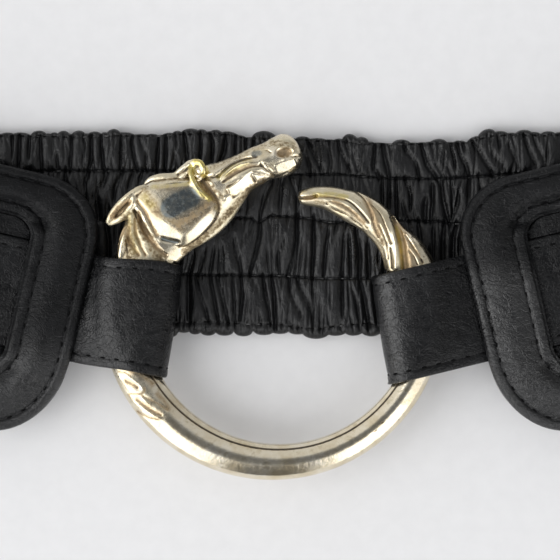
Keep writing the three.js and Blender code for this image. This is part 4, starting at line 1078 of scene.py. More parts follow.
def panel_lining():
    """Sections of the plain sheet behind the frame, each along its underside and back over its top."""
    nose_top, bend_top, end_top, end_low, bend_low, nose_low = PANEL_CORNERS

    def edge(u, nose, bend, end, reach_u, reach_v):
        narrowing = (end[1] - bend[1]) * (u - bend[0]) / (PANEL_LENGTH - bend[0])
        rail = nose[1] if u < bend[0] else bend[1] + narrowing
        before_corner = 1 - min(u / reach_u, 1)
        rounded = reach_v * (1 - math.sqrt(1 - before_corner**2)) + BACKING_INSET
        return rail - math.copysign(rounded, nose[1])

    def columns(low, high):
        return np.concatenate([
            np.linspace(low + 0.8, STRAP_LOW_V - 1.0, 44),
            STRAP_LOW_V - STRAP_EDGE_COLUMNS,
            np.linspace(STRAP_LOW_V + 0.4, STRAP_HIGH_V - 0.4, 20),
            STRAP_HIGH_V + STRAP_EDGE_COLUMNS[::-1],
            np.linspace(STRAP_HIGH_V + 1.0, high - 0.8, 44),
        ])

    sections = []
    for u in LINING_STATIONS:
        low = edge(u, nose_low, bend_low, end_low, nose_low[2], nose_low[3])
        high = edge(u, nose_top, bend_top, end_top, nose_top[3], nose_top[2])
        between = columns(low, high)
        near, far = (share * (high - low) for share in LINING_ROUNDING)
        bottom = [(low, 0.5), (low + near, 0.2), (low + far, 0.0)] + [(v, 0.0) for v in between]
        bottom += [(high - far, 0.0), (high - near, 0.2), (high, 0.5)]
        top = [(high - near, 0.8), (high - far, 1.0)] + [(v, 1.0) for v in between[::-1]]
        top += [(low + far, 1.0), (low + near, 0.8)]
        v, share = np.array(bottom + top).T
        level = BACKING_WALL * share
        along = np.full(len(v), u + BACKING_INSET)
        in_window = smooth(depth_inside(along, v, WINDOW_CORNERS) / WINDOW_EASE)
        showing = in_window * smooth(beside_strap(v) / STRAP_EDGE_EASE)
        level = level + WINDOW_FILL * showing * (share == 1.0)
        level = level + LINING_SWELL * wander_over(along, v, seed=77, step_x=4, step_y=4)
        sections.append(front_points(along, v, level))
    return sections


# The straps.

# Distance in from the strap's edge, and how far the outside stands from the wall's middle there.
STRAP_PROFILE = [
    (0.0, 0.0), (0.05, 0.3), (0.2, 0.54), (0.45, 0.68), (0.8, 0.75), (1.3, 0.77), (1.7, 0.74), (1.95, 0.65),
    (2.1, 0.57), (2.25, 0.53), (2.4, 0.56), (2.6, 0.62), (3.0, 0.68), (3.8, 0.71), (5.5, 0.74), (7.5, 0.75),
    (9.5, 0.73), (11.5, 0.7),
]
STRAP_STITCH_IN = 2.25
STRAP_SECTIONS = 290
STRAP_STATIONS = (88, 8, 90)  # from how far inside the panel to its mouth, and in how many steps
STRAP_INSIDE = 0.6  # how far the inside stands from the wall's middle
STRAP_CROWN = (-2.0, 0.69)  # its middle: v, outside level
RISE_STEPS = 12
FOLD_STEPS = 26
FOLD_CLEAR = 0.5  # the fold starts at least this far past the ring's middle
# How uneven the outside is, in wide and in small swells, from the level where its rim ends.
STRAP_SWELL = 0.12
STRAP_RIPPLE = 0.05
STRAP_RIM_LEVEL = 0.2
STRAP_RIM = 0.3  # up to this far from the edge the inside stands off as the outside does
MOUTH_STATIONS = [5.2, 2.4, -0.3]


def circle_in_strap_axes(circle, side):
    x = (-circle[0] if side == "left" else circle[0]) - NOSE_X
    y = circle[1] - NOSE_Y
    c, s = math.cos(PANEL_TURN), math.sin(PANEL_TURN)
    return x * c + y * s, -x * s + y * c, circle[2]


def strap_line(v, side):
    """The leather's middle line at v, as u and height: out to the ring, over it, round and back."""
    shape = STRAP_SIDES[side]
    share = (v - STRAP_LOW_V) / (STRAP_HIGH_V - STRAP_LOW_V)
    edges = []
    for circle in (RING_OUTER, RING_INNER):
        u, centre_v, radius = circle_in_strap_axes(circle, side)
        edges.append(u + math.sqrt(radius**2 - (v - centre_v) ** 2))
    outer_u, inner_u = edges
    wire_u = (outer_u + inner_u) / 2
    away = GAP + shape["slack"] + STRAP_WALL / 2
    reach_z = (RING_OUTER[2] - RING_INNER[2]) / 2 + away
    reach_u = (outer_u - inner_u) / 2 + away
    low_layer = BACKING_WALL + GAP + STRAP_WALL / 2
    high_layer = low_layer + STRAP_WALL + STRAP_LAYER_GAP

    def height(u):
        x, y = in_plan(u, v)
        return float(height_at(x, y))

    ends = list(np.linspace(*STRAP_STATIONS)) + MOUTH_STATIONS
    line = [(u, height(u) + high_layer) for u in ends]
    mouth_u, mouth_z = line[-1]
    a, b = (mouth_u - wire_u) / reach_u, (mouth_z - RING_Z) / reach_z
    touch = math.atan2(b, a) % (2 * math.pi) + math.acos(1 / math.hypot(a, b)) - 2 * math.pi
    for angle in np.linspace(touch, math.pi / 2, RISE_STEPS):
        line.append((wire_u + reach_u * math.cos(angle), RING_Z + reach_z * math.sin(angle)))
    outside = shape["fold_low"] + (shape["fold_high"] - shape["fold_low"]) * share
    fold_u = min(outside + STRAP_WALL / 2 + reach_z, wire_u - FOLD_CLEAR)
    for angle in np.linspace(math.pi / 2, 3 * math.pi / 2, FOLD_STEPS):
        line.append((fold_u + reach_z * math.cos(angle), RING_Z + reach_z * math.sin(angle)))
    landing_z = height(mouth_u) + low_layer
    line.append((wire_u, RING_Z - reach_z))
    for t in (0.25, 0.5, 0.75):
        back_z = RING_Z - reach_z + (landing_z - RING_Z + reach_z) * t
        line.append((wire_u + (mouth_u - wire_u) * t, back_z))
    line += [(u, height(u) + low_layer) for u in reversed(ends)]
    return evened(np.array(line), round_off=2)


def evened(line, round_off):
    """The same line with its points evenly spaced, its corners eased."""
    for _ in range(round_off):
        line[1:-1] = (line[:-2] + 2 * line[1:-1] + line[2:]) / 4
    lengths = np.concatenate([[0], np.cumsum(np.linalg.norm(np.diff(line, axis=0), axis=1))])
    at = np.linspace(0, lengths[-1], STRAP_SECTIONS)
    return np.stack([np.interp(at, lengths, line[:, 0]), np.interp(at, lengths, line[:, 1])], axis=-1)


def strap_across():
    """Places across the strap, from the low edge to the high one: v, outside level, inside level."""
    levels = [(d, level, STRAP_INSIDE if d > STRAP_RIM else level) for d, level in STRAP_PROFILE]
    near = [(STRAP_LOW_V + d, outside, inside) for d, outside, inside in levels]
    far = [(STRAP_HIGH_V - d, outside, inside) for d, outside, inside in reversed(levels)]
    return near + [(*STRAP_CROWN, STRAP_INSIDE)] + far


def strap_points(side):
    """Outside and inside points of a strap: two arrays of (place across, place along, 3)."""
    fan, fan_low = STRAP_SIDES[side]["fan"], STRAP_SIDES[side]["fan_low"]
    outside, inside = [], []
    for v, level, level_in in strap_across():
        line = strap_line(v, side)
        way = np.gradient(line, axis=0)
        way /= np.linalg.norm(way, axis=1)[:, None]
        normal = np.stack([way[:, 1], -way[:, 0]], axis=-1)
        share = (v - STRAP_LOW_V) / (STRAP_HIGH_V - STRAP_LOW_V)
        along = np.arange(len(line))
        here = np.full(len(line), v)
        wear_and_glint = STRAP_SWELL * wander_over(along, here, seed=301, step_x=9, step_y=6.0)
        wear_and_glint = wear_and_glint + STRAP_RIPPLE * wander_over(along, here, seed=302, step_x=3.0, step_y=2.6)
        level_out = level + wear_and_glint * (level > STRAP_RIM_LEVEL)
        for made, offset in ((outside, level_out), (inside, -level_in)):
            p = line + normal * np.asarray(offset).reshape(-1, 1)
            spread = (fan * share + fan_low * (1 - share)) * smooth(-line[:, 0] / FAN_LENGTH)
            x, y = in_plan(p[:, 0], v + spread)
            made.append(np.stack([x, y, p[:, 1]], axis=-1))
    return np.array(outside), np.array(inside)


# Stitches: one is modelled, and the rest are its copies.


def one_stitch():
    pick_nothing()
    bpy.ops.mesh.primitive_uv_sphere_add(segments=6, ring_count=5, radius=0.5 * MM, location=(0, 0, 0))
    stitch = bpy.context.object
    bpy.ops.object.mode_set(mode="EDIT")
    bpy.ops.mesh.select_all(action="SELECT")
    bpy.ops.transform.resize(value=(STITCH_THICKNESS, STITCH_THICKNESS, STITCH_LENGTH))
    bpy.ops.object.mode_set(mode="OBJECT")
    bpy.ops.object.shade_smooth()
    return stitch


def stitched(name, pattern, lines, length=1.0, thickness=1.0):
    """Copies of the pattern stitch along lines of (middle, way) pairs, joined to one piece."""
    pattern_points = np.array([v.co for v in pattern.data.vertices]) / MM
    made = []
    for place, way in lines:
        way = way / np.linalg.norm(way)
        across = np.cross(way, [0, 0, 1.0])
        across /= np.linalg.norm(across)
        up = np.cross(across, way)
        stitch = pattern.copy()
        stitch.data = pattern.data.copy()
        bpy.context.collection.objects.link(stitch)
        p = pattern_points
        turned = p[:, :1] * across * thickness + p[:, 1:2] * up * thickness + p[:, 2:] * way * length
        place_points(stitch, place + turned)
        made.append(stitch)
    return joined(name, made)


def along_row(points, pitch, closed):
    """Places and ways at an even pitch along a row of points."""
    row = np.vstack([points, points[:1]]) if closed else points
    lengths = np.concatenate([[0], np.cumsum(np.linalg.norm(np.diff(row, axis=0), axis=1))])
    count = max(2, round(lengths[-1] / pitch))
    step = lengths[-1] / count
    at = (np.arange(count) + 0.5) * step
    place = np.stack([np.interp(at, lengths, row[:, k]) for k in range(3)], axis=-1)
    ahead = np.stack([np.interp(at + STITCH_WAY_REACH, lengths, row[:, k]) for k in range(3)], axis=-1)
    behind = np.stack([np.interp(at - STITCH_WAY_REACH, lengths, row[:, k]) for k in range(3)], axis=-1)
    return [(p, w) for p, w in zip(place, ahead - behind) if np.linalg.norm(w) > 1e-6]


# The cast ring.

# Sections of the head and the tail: x and y of the outer edge, x and y of the inner edge, half height.
HEAD_SECTIONS = [
    (-41.2, 3.0, -32.6, 2.0, 3.7),
    (-41.2, 7.6, -31.2, 5.2, 3.7),
    (-38.8, 13.1, -24.3, 10.6, 3.6),
    (-37.4, 16.9, -20.7, 14.0, 3.3),
    (-36.4, 21.7, -17.6, 15.7, 3.0),
    (-34.5, 26.0, -14.8, 17.6, 3.0),
    (-31.7, 29.3, -12.1, 20.1, 3.0),
    (-28.3, 31.0, -9.8, 23.1, 3.1),
    (-24.0, 31.6, -8.1, 25.8, 3.3),
    (-18.8, 34.0, -6.9, 27.7, 3.6),
    (-14.5, 35.0, -5.5, 28.9, 4.0),
    (-10.1, 36.7, -3.8, 29.8, 4.1),
    (-6.9, 38.3, -2.6, 30.4, 4.1),
    (-4.0, 39.4, -1.2, 31.1, 4.2),
    (-1.7, 40.7, 0.7, 31.2, 4.3),
    (0.5, 41.7, 2.6, 31.9, 4.2),
    (2.6, 41.3, 4.3, 33.1, 3.8),
    (4.2, 39.8, 5.4, 34.8, 2.8),
    (5.2, 37.9, 5.8, 36.2, 1.2),
]
TAIL_SECTIONS = [
    (4.4, 26.9, 4.9, 25.4, 0.9),
    (5.2, 28.2, 5.6, 24.9, 1.9),
    (8.4, 29.1, 7.6, 24.5, 2.5),
    (12.6, 29.1, 10.4, 23.9, 2.9),
    (16.8, 28.3, 12.8, 22.7, 3.1),
    (20.6, 27.3, 15.2, 21.2, 3.3),
    (24.2, 25.3, 17.5, 20.0, 3.4),
    (27.0, 22.6, 19.9, 18.5, 3.5),
    (29.0, 20.1, 21.6, 16.8, 3.5),
    (31.8, 18.1, 23.2, 15.0, 3.5),
    (34.6, 15.2, 24.4, 12.6, 3.6),
    (37.0, 11.0, 25.6, 8.8, 3.6),
    (38.4, 5.0, 28.6, 4.2, 3.6),
    (38.9, 1.0, 30.6, 1.0, 3.6),
]
# Forms that stand out, each from its root to its tip: x, y, height above the ring's middle, half width.
MANE = {
    "curl_rim": [(-31.4, 28.9, 4.0, 0.8), (-33.4, 28.2, 4.1, 0.9), (-36.1, 26.3, 3.9, 0.95),
      (-38.3, 24.2, 3.4, 0.9), (-39.9, 22.1, 2.6, 0.8), (-40.8, 20.3, 1.8, 0.55)],
    "curl_floor": [(-34.4, 25.4, 1.3, 2.0), (-36.0, 24.4, 1.0, 2.1), (-37.8, 23.0, 0.7, 1.6),
      (-39.2, 21.8, 0.5, 1.0), (-40.4, 20.6, 0.4, 0.5)],
    "curl_lip": [(-34.4, 26.9, 4.2, 0.6), (-34.4, 25.3, 4.1, 0.9), (-35.7, 23.4, 3.5, 0.9),
      (-37.1, 21.9, 2.9, 0.85), (-38.6, 20.9, 2.3, 0.8), (-40.5, 20.1, 1.6, 0.6)],
    "lock_a": [(-34.4, 26.0, 3.6, 0.6), (-33.3, 24.0, 3.8, 0.9), (-32.0, 22.2, 3.7, 0.9),
      (-31.2, 20.6, 3.6, 0.9), (-30.0, 18.5, 3.3, 0.9), (-28.8, 16.6, 2.9, 0.85), (-27.2, 15.2, 2.4, 0.75),
      (-25.4, 14.1, 2.0, 0.6)],
    "lock_b": [(-36.9, 21.3, 2.4, 0.5), (-35.4, 22.6, 3.0, 0.9), (-34.8, 21.6, 3.2, 1.0),
      (-35.0, 19.9, 3.1, 1.0), (-34.9, 17.8, 2.9, 1.0), (-34.0, 16.0, 2.6, 1.0), (-32.9, 14.4, 2.4, 1.0),
      (-31.8, 10.0, 2.1, 1.0)],
    "lock_c": [(-34.0, 21.4, 2.9, 0.4), (-33.5, 19.4, 3.3, 0.8), (-32.8, 17.6, 3.0, 0.85),
      (-31.4, 15.6, 2.6, 1.0), (-30.2, 13.4, 2.3, 1.1), (-29.6, 10.0, 2.2, 1.1)],
    "lock_d": [(-36.0, 20.2, 2.2, 0.5), (-36.6, 18.0, 2.3, 0.9), (-37.1, 15.8, 2.1, 1.0),
      (-37.4, 13.6, 1.9, 1.0), (-37.5, 10.4, 1.7, 1.0)],
    "lock_e": [(-30.6, 18.6, 2.6, 0.4), (-29.6, 16.2, 2.5, 0.8), (-28.6, 14.2, 2.3, 0.9),
      (-27.2, 12.4, 2.1, 1.0), (-26.0, 10.0, 1.9, 1.0)],
    "forelock": [(-32.2, 29.6, 1.0, 0.4), (-30.4, 30.7, 1.9, 0.85), (-28.2, 31.1, 2.5, 1.1),
      (-25.8, 31.2, 2.8, 1.15), (-23.6, 31.4, 3.0, 1.0)],
    "ear": [(-24.6, 30.9, 2.6, 1.2), (-23.0, 32.2, 3.2, 1.5), (-21.6, 33.6, 3.8, 1.25),
      (-20.3, 35.0, 4.3, 0.5)],
    "ear_edge": [(-25.4, 31.6, 2.4, 0.4), (-23.2, 33.4, 3.2, 0.45), (-21.4, 34.8, 4.0, 0.45),
      (-19.6, 35.4, 4.6, 0.4)],
    "eye_fold": [(-21.0, 33.8, 4.4, 0.5), (-20.9, 32.0, 4.8, 0.65), (-20.2, 30.0, 5.2, 0.75),
      (-19.0, 28.2, 5.3, 0.75), (-17.7, 26.9, 5.0, 0.65), (-16.0, 25.8, 4.5, 0.4)],
    "face_vein": [(-14.0, 30.6, 4.5, 0.4), (-12.0, 32.6, 4.4, 0.5), (-9.6, 34.2, 4.1, 0.5),
      (-6.7, 34.9, 3.8, 0.4), (-4.2, 34.9, 3.6, 0.25)],
}
# Lines chased in the tail: x and y points, half width, and depth below zero or height.
TAIL_LINES = [
    ([(4.6, 26.3), (7.2, 26.4), (8.8, 26.8)], 0.34, -0.75),
    ([(8.8, 26.8), (12.1, 26.5), (15.3, 26.0), (17.3, 25.0), (19.3, 23.0), (21.3, 20.6)], 0.34, -0.34),
    ([(7.4, 27.8), (10.6, 28.2), (14.1, 27.8), (17.3, 26.7), (20.1, 24.4), (22.0, 21.6)], 0.42, -0.13),
    ([(18.7, 27.6), (20.5, 25.6), (21.9, 22.8), (22.5, 20.0), (23.7, 17.2)], 0.36, -0.36),
    ([(21.9, 24.8), (24.0, 22.4), (25.2, 19.6), (26.0, 17.2), (26.6, 15.6)], 0.28, -0.22),
    ([(23.7, 20.0), (24.8, 17.6), (25.6, 15.2), (25.9, 12.0)], 0.26, -0.18),
    ([(11.3, 25.0), (13.3, 23.6), (16.1, 22.4), (18.1, 20.8), (19.7, 19.6)], 0.3, -0.2),
    ([(12.1, 25.7), (15.3, 24.6), (17.7, 22.8), (19.3, 21.0), (20.9, 19.2)], 0.26, -0.16),
    ([(12.0, 24.6), (14.6, 23.8), (16.8, 22.2)], 0.6, 0.16),
    ([(27.2, 21.6), (28.4, 18.8), (29.2, 16.0), (29.6, 12.9), (29.9, 9.6)], 0.8, -1.0),
    ([(30.0, 17.6), (31.4, 15.4), (33.0, 13.0), (34.0, 11.2)], 0.3, -0.28),
    ([(30.8, 14.0), (32.0, 12.4), (32.8, 10.6)], 0.28, -0.25),
    ([(25.6, 23.2), (26.8, 20.0), (27.5, 16.0), (27.7, 12.9), (27.6, 9.7)], 0.5, 0.22),
    ([(26.4, 14.4), (26.7, 12.0), (26.9, 9.7)], 0.26, -0.3),
    ([(20.9, 18.4), (23.3, 16.0), (24.8, 13.3), (25.4, 9.7)], 0.4, -0.16),
    ([(31.2, 16.8), (32.6, 14.2), (33.6, 12.0)], 0.35, 0.14),
]
TAIL_RELIEF = 1.35  # how much higher and deeper all of them are made
# The leaves cast on the ring, as lines on its surface: x and y points, half width, and height over it.
RING_LEAVES = [
    ([(-38.3, -14.2), (-36.4, -15.6), (-34.4, -16.9), (-32.6, -18.3), (-32.2, -19.3), (-33.4, -19.7),
      (-35.2, -19.3), (-36.1, -18.3), (-37.1, -16.9), (-37.9, -16.2)], 0.28, 0.17),
    ([(-36.4, -17.1), (-35.0, -17.7), (-33.6, -18.5)], 0.5, -0.2),
    ([(-35.5, -20.5), (-34.4, -21.9), (-33.0, -23.1), (-31.6, -24.1), (-29.6, -25.3),
      (-28.4, -25.9)], 0.42, 0.2),
    ([(-33.6, -24.3), (-32.4, -25.1), (-30.8, -25.7), (-28.4, -26.3)], 0.24, -0.14),
    ([(-33.6, -21.5), (-31.8, -22.9), (-30.0, -24.1), (-28.0, -25.1)], 0.42, -0.2),
    ([(-32.5, -20.9), (-31.6, -22.1), (-30.4, -23.1)], 0.2, 0.12),
    ([(-32.4, -20.5), (-30.0, -21.7), (-28.4, -22.5), (-26.4, -23.9)], 0.24, -0.14),
]
# Lines of tarnish round them, one also a painted shadow of the strap: x and y points, half width, how dark.
RING_TARNISH_AND_SHADE = [
    ([(-36.3, -17.1), (-35.0, -17.7), (-33.8, -18.4)], 0.55, 0.78),
    ([(-38.1, -14.7), (-36.2, -15.3), (-35.2, -15.9)], 0.2, 0.9),
    # Tarnish and a painted shadow of the left strap, below the strap's edge.
    ([(-36.0, -14.4), (-33.5, -15.2), (-30.9, -16.8), (-30.0, -17.6)], 0.6, 0.7),
    ([(-35.5, -20.1), (-34.4, -20.1), (-32.4, -20.0), (-31.8, -19.3), (-32.0, -18.4)], 0.24, 0.84),
    ([(-35.7, -20.2), (-35.2, -20.9), (-34.6, -21.4)], 0.2, 0.86),
    ([(-33.6, -24.3), (-32.4, -25.1), (-30.8, -25.7), (-28.6, -26.1)], 0.26, 0.9),
    ([(-33.6, -21.5), (-31.8, -22.9), (-30.0, -24.1), (-28.0, -25.1)], 0.5, 0.74),
    ([(-32.4, -20.5), (-30.0, -21.7), (-28.4, -22.5), (-26.4, -23.9)], 0.24, 0.84),
    ([(-28.8, -20.1), (-27.2, -21.9), (-26.2, -23.7)], 0.4, 0.68),
]
# Dark pits in the cast face: x, y, half length, half width and turn in degrees.
RING_PITS = [
    (24.5, -26.9, 0.55, 0.3, 40), (22.9, -28.8, 0.6, 0.3, 35), (28.5, -26.2, 0.28, 0.26, 0),
    (-12.0, -35.4, 0.24, 0.2, 10), (5.6, -37.6, 0.24, 0.2, 0),
]
# The cheek: its upper edge and, outside it, its foot: x and y of both, and how far the foot lies below.
CHEEK = [
    (-33.5, 26.0, -34.4, 26.0, 0.8),
    (-31.9, 24.0, -33.2, 22.6, 1.1),
    (-29.6, 22.2, -31.2, 20.0, 1.5),
    (-26.8, 20.1, -28.5, 17.4, 1.7),
    (-24.3, 18.6, -25.4, 15.9, 1.7),
    (-22.4, 17.2, -22.6, 15.0, 1.6),
    (-20.5, 18.5, -19.5, 16.8, 1.5),
    (-18.1, 21.0, -16.9, 19.3, 1.5),
    (-16.2, 22.9, -15.1, 21.6, 1.4),
    (-15.6, 24.4, -14.4, 23.9, 1.4),
    (-16.4, 26.2, -15.3, 26.7, 1.5),
    (-18.2, 28.6, -17.6, 29.6, 1.6),
    (-20.6, 29.8, -20.4, 31.4, 2.0),
    (-25.0, 30.0, -25.4, 31.2, 2.0),
    (-29.5, 29.0, -30.2, 30.1, 1.7),
    (-32.0, 27.7, -33.0, 28.4, 1.2),
]
CHEEK_TOP = (-23.4, 24.8, 5.45)
CHEEK_BEND = (52.0, 40.0)  # radii of its doming along x and along y
CHEEK_ROOT = -1.0  # how high over the ring's middle it starts
CHEEK_STEPS = 12
CHEEK_SHARES = (1.0, 0.86, 0.7, 0.52, 0.34, 0.17, 0.02)
EYE_RING = {
    "x": -19.0, "y": 33.0, "rise": 4.2, "radius": 1.55, "thickness": 0.72, "lean": (-0.35, -0.2),
    "stretch": (0.85, 1.15, 1),
}
EYE_BALL = {"x": -18.7, "y": 32.7, "rise": 4.0, "radius": 1.15}
# The mane's grooves: points, then half width and depth as chased, half width and darkness of the tarnish
# in them, half width and share of the brown along them.
MANE_GROOVES = [
    ([(-33.6, 25.6), (-31.8, 23.3), (-30.4, 20.2), (-29.0, 17.4)], 0.3, -0.35, 0.34, 0.84, 0.5, 0.9),
    ([(-33.2, 22.8), (-32.9, 20.4), (-31.8, 18.4), (-30.3, 16.2), (-28.4, 14.2), (-26.8, 12.8)],
     0.34, -0.45, 0.5, 0.84, 0.75, 0.95),
    ([(-34.1, 21.4), (-34.0, 18.0), (-33.2, 15.6), (-31.6, 12.8)], 0.3, -0.35, 0.3, 0.8, 0.5, 0.8),
    ([(-35.6, 19.4), (-35.8, 17.4), (-35.2, 15.6), (-34.1, 14.0), (-33.3, 12.8)],
     0.32, -0.45, 0.42, 0.86, 0.65, 0.95),
    ([(-36.8, 18.8), (-38.0, 15.8), (-38.5, 13.4)], 0.26, -0.3, 0.4, 0.8, 0.5, 0.9),
]
# Other chased lines on the head: points, half width, and height (a ridge) or depth (a groove) below zero.
HEAD_LINES = [
    ([(-36.3, 16.4), (-36.0, 14.2), (-35.6, 12.4)], 0.22, -0.22),
    ([(-27.6, 16.7), (-26.0, 16.2), (-24.0, 15.8)], 0.42, -0.5),
    ([(-14.3, 31.6), (-11.8, 33.8), (-8.6, 35.4), (-5.4, 36.0)], 0.45, -0.5),
    ([(-13.3, 30.2), (-10.0, 32.2), (-6.7, 33.6), (-4.0, 33.9)], 0.4, -0.4),
    ([(-18.2, 30.8), (-16.9, 28.6), (-15.6, 26.8)], 0.8, -0.55),
    ([(-17.6, 31.2), (-15.8, 31.2), (-14.4, 31.4)], 0.6, -0.45),
    ([(-12.6, 26.2), (-11.0, 27.4), (-8.4, 29.0), (-5.4, 30.2)], 0.4, 0.25),
    ([(-30.0, 28.9), (-26.0, 29.5), (-21.6, 29.9)], 0.35, -0.25),
    ([(-23.8, 31.9), (-22.2, 32.8), (-21.0, 33.8)], 0.5, -0.55),
    ([(-4.4, 34.4), (-3.4, 33.4), (-2.6, 32.6), (-1.4, 31.8)], 0.3, -0.4),
    ([(-3.2, 34.2), (-2.0, 33.6), (-1.2, 32.8)], 0.26, -0.25),
    ([(-6.4, 32.4), (-4.6, 32.0), (-3.0, 31.9)], 0.28, -0.25),
    ([(-2.7, 31.7), (-0.4, 31.4), (1.9, 32.4)], 0.28, -0.25),
    ([(1.6, 35.8), (3.4, 36.2), (5.5, 36.1)], 0.3, -0.4),
    ([(-2.9, 39.3), (-0.6, 40.0), (1.6, 39.8), (3.8, 39.0)], 0.25, -0.3),
    ([(-2.4, 38.5), (-0.6, 39.2), (1.4, 39.2), (3.6, 38.4)], 0.25, -0.28),
    ([(-2.6, 40.1), (-0.4, 40.8), (1.8, 40.6)], 0.22, -0.22),
    ([(-4.4, 37.4), (-3.0, 37.6), (-2.0, 37.0)], 0.35, -0.25),
]
# Dents and a rim: x, y, half length, half width, turn in degrees, depth below zero or height.
HEAD_DENTS = [
    (1.3, 37.1, 1.9, 1.1, 8, -1.0),
    (-5.3, 36.9, 0.95, 0.8, 20, -0.3),
]
NOSTRIL_RIM = (1.3, 37.1, 2.3, 1.45, 8, 0.14)
RIM_HALF = 0.16  # half the rim's width, as a share of its radius
# Flat facets cut into the face: middle x and y, half length, half width, turn in degrees, fall across,
# and how far they are sunk. Then how soft a facet's edges are, as shares of those halves.
MUZZLE_FACETS = [(-8.8, 29.3, 3.6, 1.45, 34, 0.66, 0.1), (1.6, 34.0, 2.6, 1.1, 22, 0.7, 0.1)]
FACET_ENDS = 0.1
FACET_SIDES = 0.2
# More tarnish on the head: points, half width, how dark.
HEAD_TARNISH = [
    ([(-39.3, 22.0), (-37.7, 23.8), (-35.6, 25.3)], 1.15, 0.86), ([(0.4, 36.9), (2.2, 37.2)], 0.7, 0.8),
    ([(-36.4, 22.4), (-35.8, 18.0), (-35.0, 12.0)], 2.2, 0.74),
    ([(-32.6, 19.6), (-30.0, 15.0), (-28.0, 12.0)], 2.1, 0.76),
    ([(-22.6, 13.6), (-18.3, 16.7), (-14.0, 20.7), (-11.4, 23.4), (-9.3, 25.8), (-6.6, 28.8),
      (-3.6, 30.6)], 1.25, 0.76),
    ([(-31.8, 27.6), (-30.6, 25.4), (-28.8, 23.2)], 2.1, 0.68),
    ([(-16.0, 33.6), (-8.0, 36.8), (-3.0, 39.2)], 1.2, 0.65),
    ([(-16.6, 30.4), (-15.4, 28.2), (-13.8, 26.6)], 1.2, 0.72), ([(-1.5, 39.6), (3.5, 38.6)], 1.5, 0.7),
    ([(-30.9, 25.2), (-28.7, 23.5), (-26.0, 21.4), (-23.6, 20.0)], 1.25, 0.74),
    ([(-23.6, 20.2), (-21.0, 21.5), (-18.6, 23.3), (-16.9, 25.0)], 1.3, 0.72),
]
EYE_LOOP = [(-20.7, 31.4), (-20.7, 33.6), (-19.7, 35.0), (-18.2, 34.6), (-17.4, 33.0), (-17.8, 31.8)]
EYE_FOLD = [(-20.7, 31.8), (-20.1, 30.0), (-19.0, 28.3), (-17.8, 27.0), (-16.4, 26.2)]
# Tints and dull places on the head: points, half width, share.
HEAD_MARKS = {
    "yellowed": [
        (EYE_LOOP, 0.8, 1.0), (EYE_FOLD, 0.8, 0.9), ([(-30.0, 28.9), (-21.4, 29.6)], 0.6, 0.45),
        ([(-14.3, 31.0), (-11.0, 33.4), (-7.0, 35.0)], 0.7, 0.5), ([(-35, 22), (-34, 14)], 1.2, 0.2),
        ([(-31.8, 26.4), (-30.2, 24.4)], 1.2, 0.35),
    ],
    "matt": [
        ([(-36, 20), (0, 36)], 30.0, 0.3), ([(-39, 22), (-36, 21), (-32, 14), (-31, 10)], 4.0, 1.0),
        ([(-32.4, 27.4), (-30.4, 25.6), (-28.6, 23.2)], 2.3, 1.0), ([(-30, 30.6), (-22, 32.5)], 1.6, 0.7),
        ([(-1.5, 39.6), (2.5, 39.4)], 1.6, 0.7), ([(-20.5, 14.6), (-13.0, 21.2), (-8.4, 26.8)], 1.6, 1.0),
        ([(-16, 34), (-10, 36.4), (-4, 38.4)], 1.6, 0.5), ([(-13, 30.4), (-9, 32.6), (-5, 34)], 1.4, 0.6),
    ],
    "browned": [
        ([(-16.2, 25.2), (-18.6, 22.8), (-21.2, 21.0), (-23.6, 19.8)], 1.9, 0.9),
        ([(-28.6, 28.6), (-22, 28.8)], 0.7, 0.6), ([(-18, 29.6), (-16.4, 27.6)], 1.2, 0.7),
        ([(-12.4, 31.4), (-9, 33.4), (-6, 34.4)], 0.6, 0.6),
        ([(-39.3, 22.0), (-37.7, 23.8), (-35.6, 25.4)], 1.1, 1.0),
        ([(-31.8, 27.2), (-30.2, 24.8), (-28.4, 22.6)], 2.0, 0.4), ([(0.2, 36.9), (2.4, 37.3)], 1.1, 0.9),
    ] + [(line, half, share) for line, _, _, _, _, half, share in MANE_GROOVES],
    "grey_and_painted_reflection": [
        # The first is a reflection of the dark room above, painted on the cheek's top; the others are grey
        # marks.
        ([(-25.6, 24.0), (-23.8, 25.2), (-21.0, 26.4)], 2.15, 3.0), ([(-5.9, 36.8), (-4.7, 37.0)], 0.7, 0.85),
        ([(-27.6, 16.6), (-24.2, 15.9)], 0.5, 0.9),
    ],
}
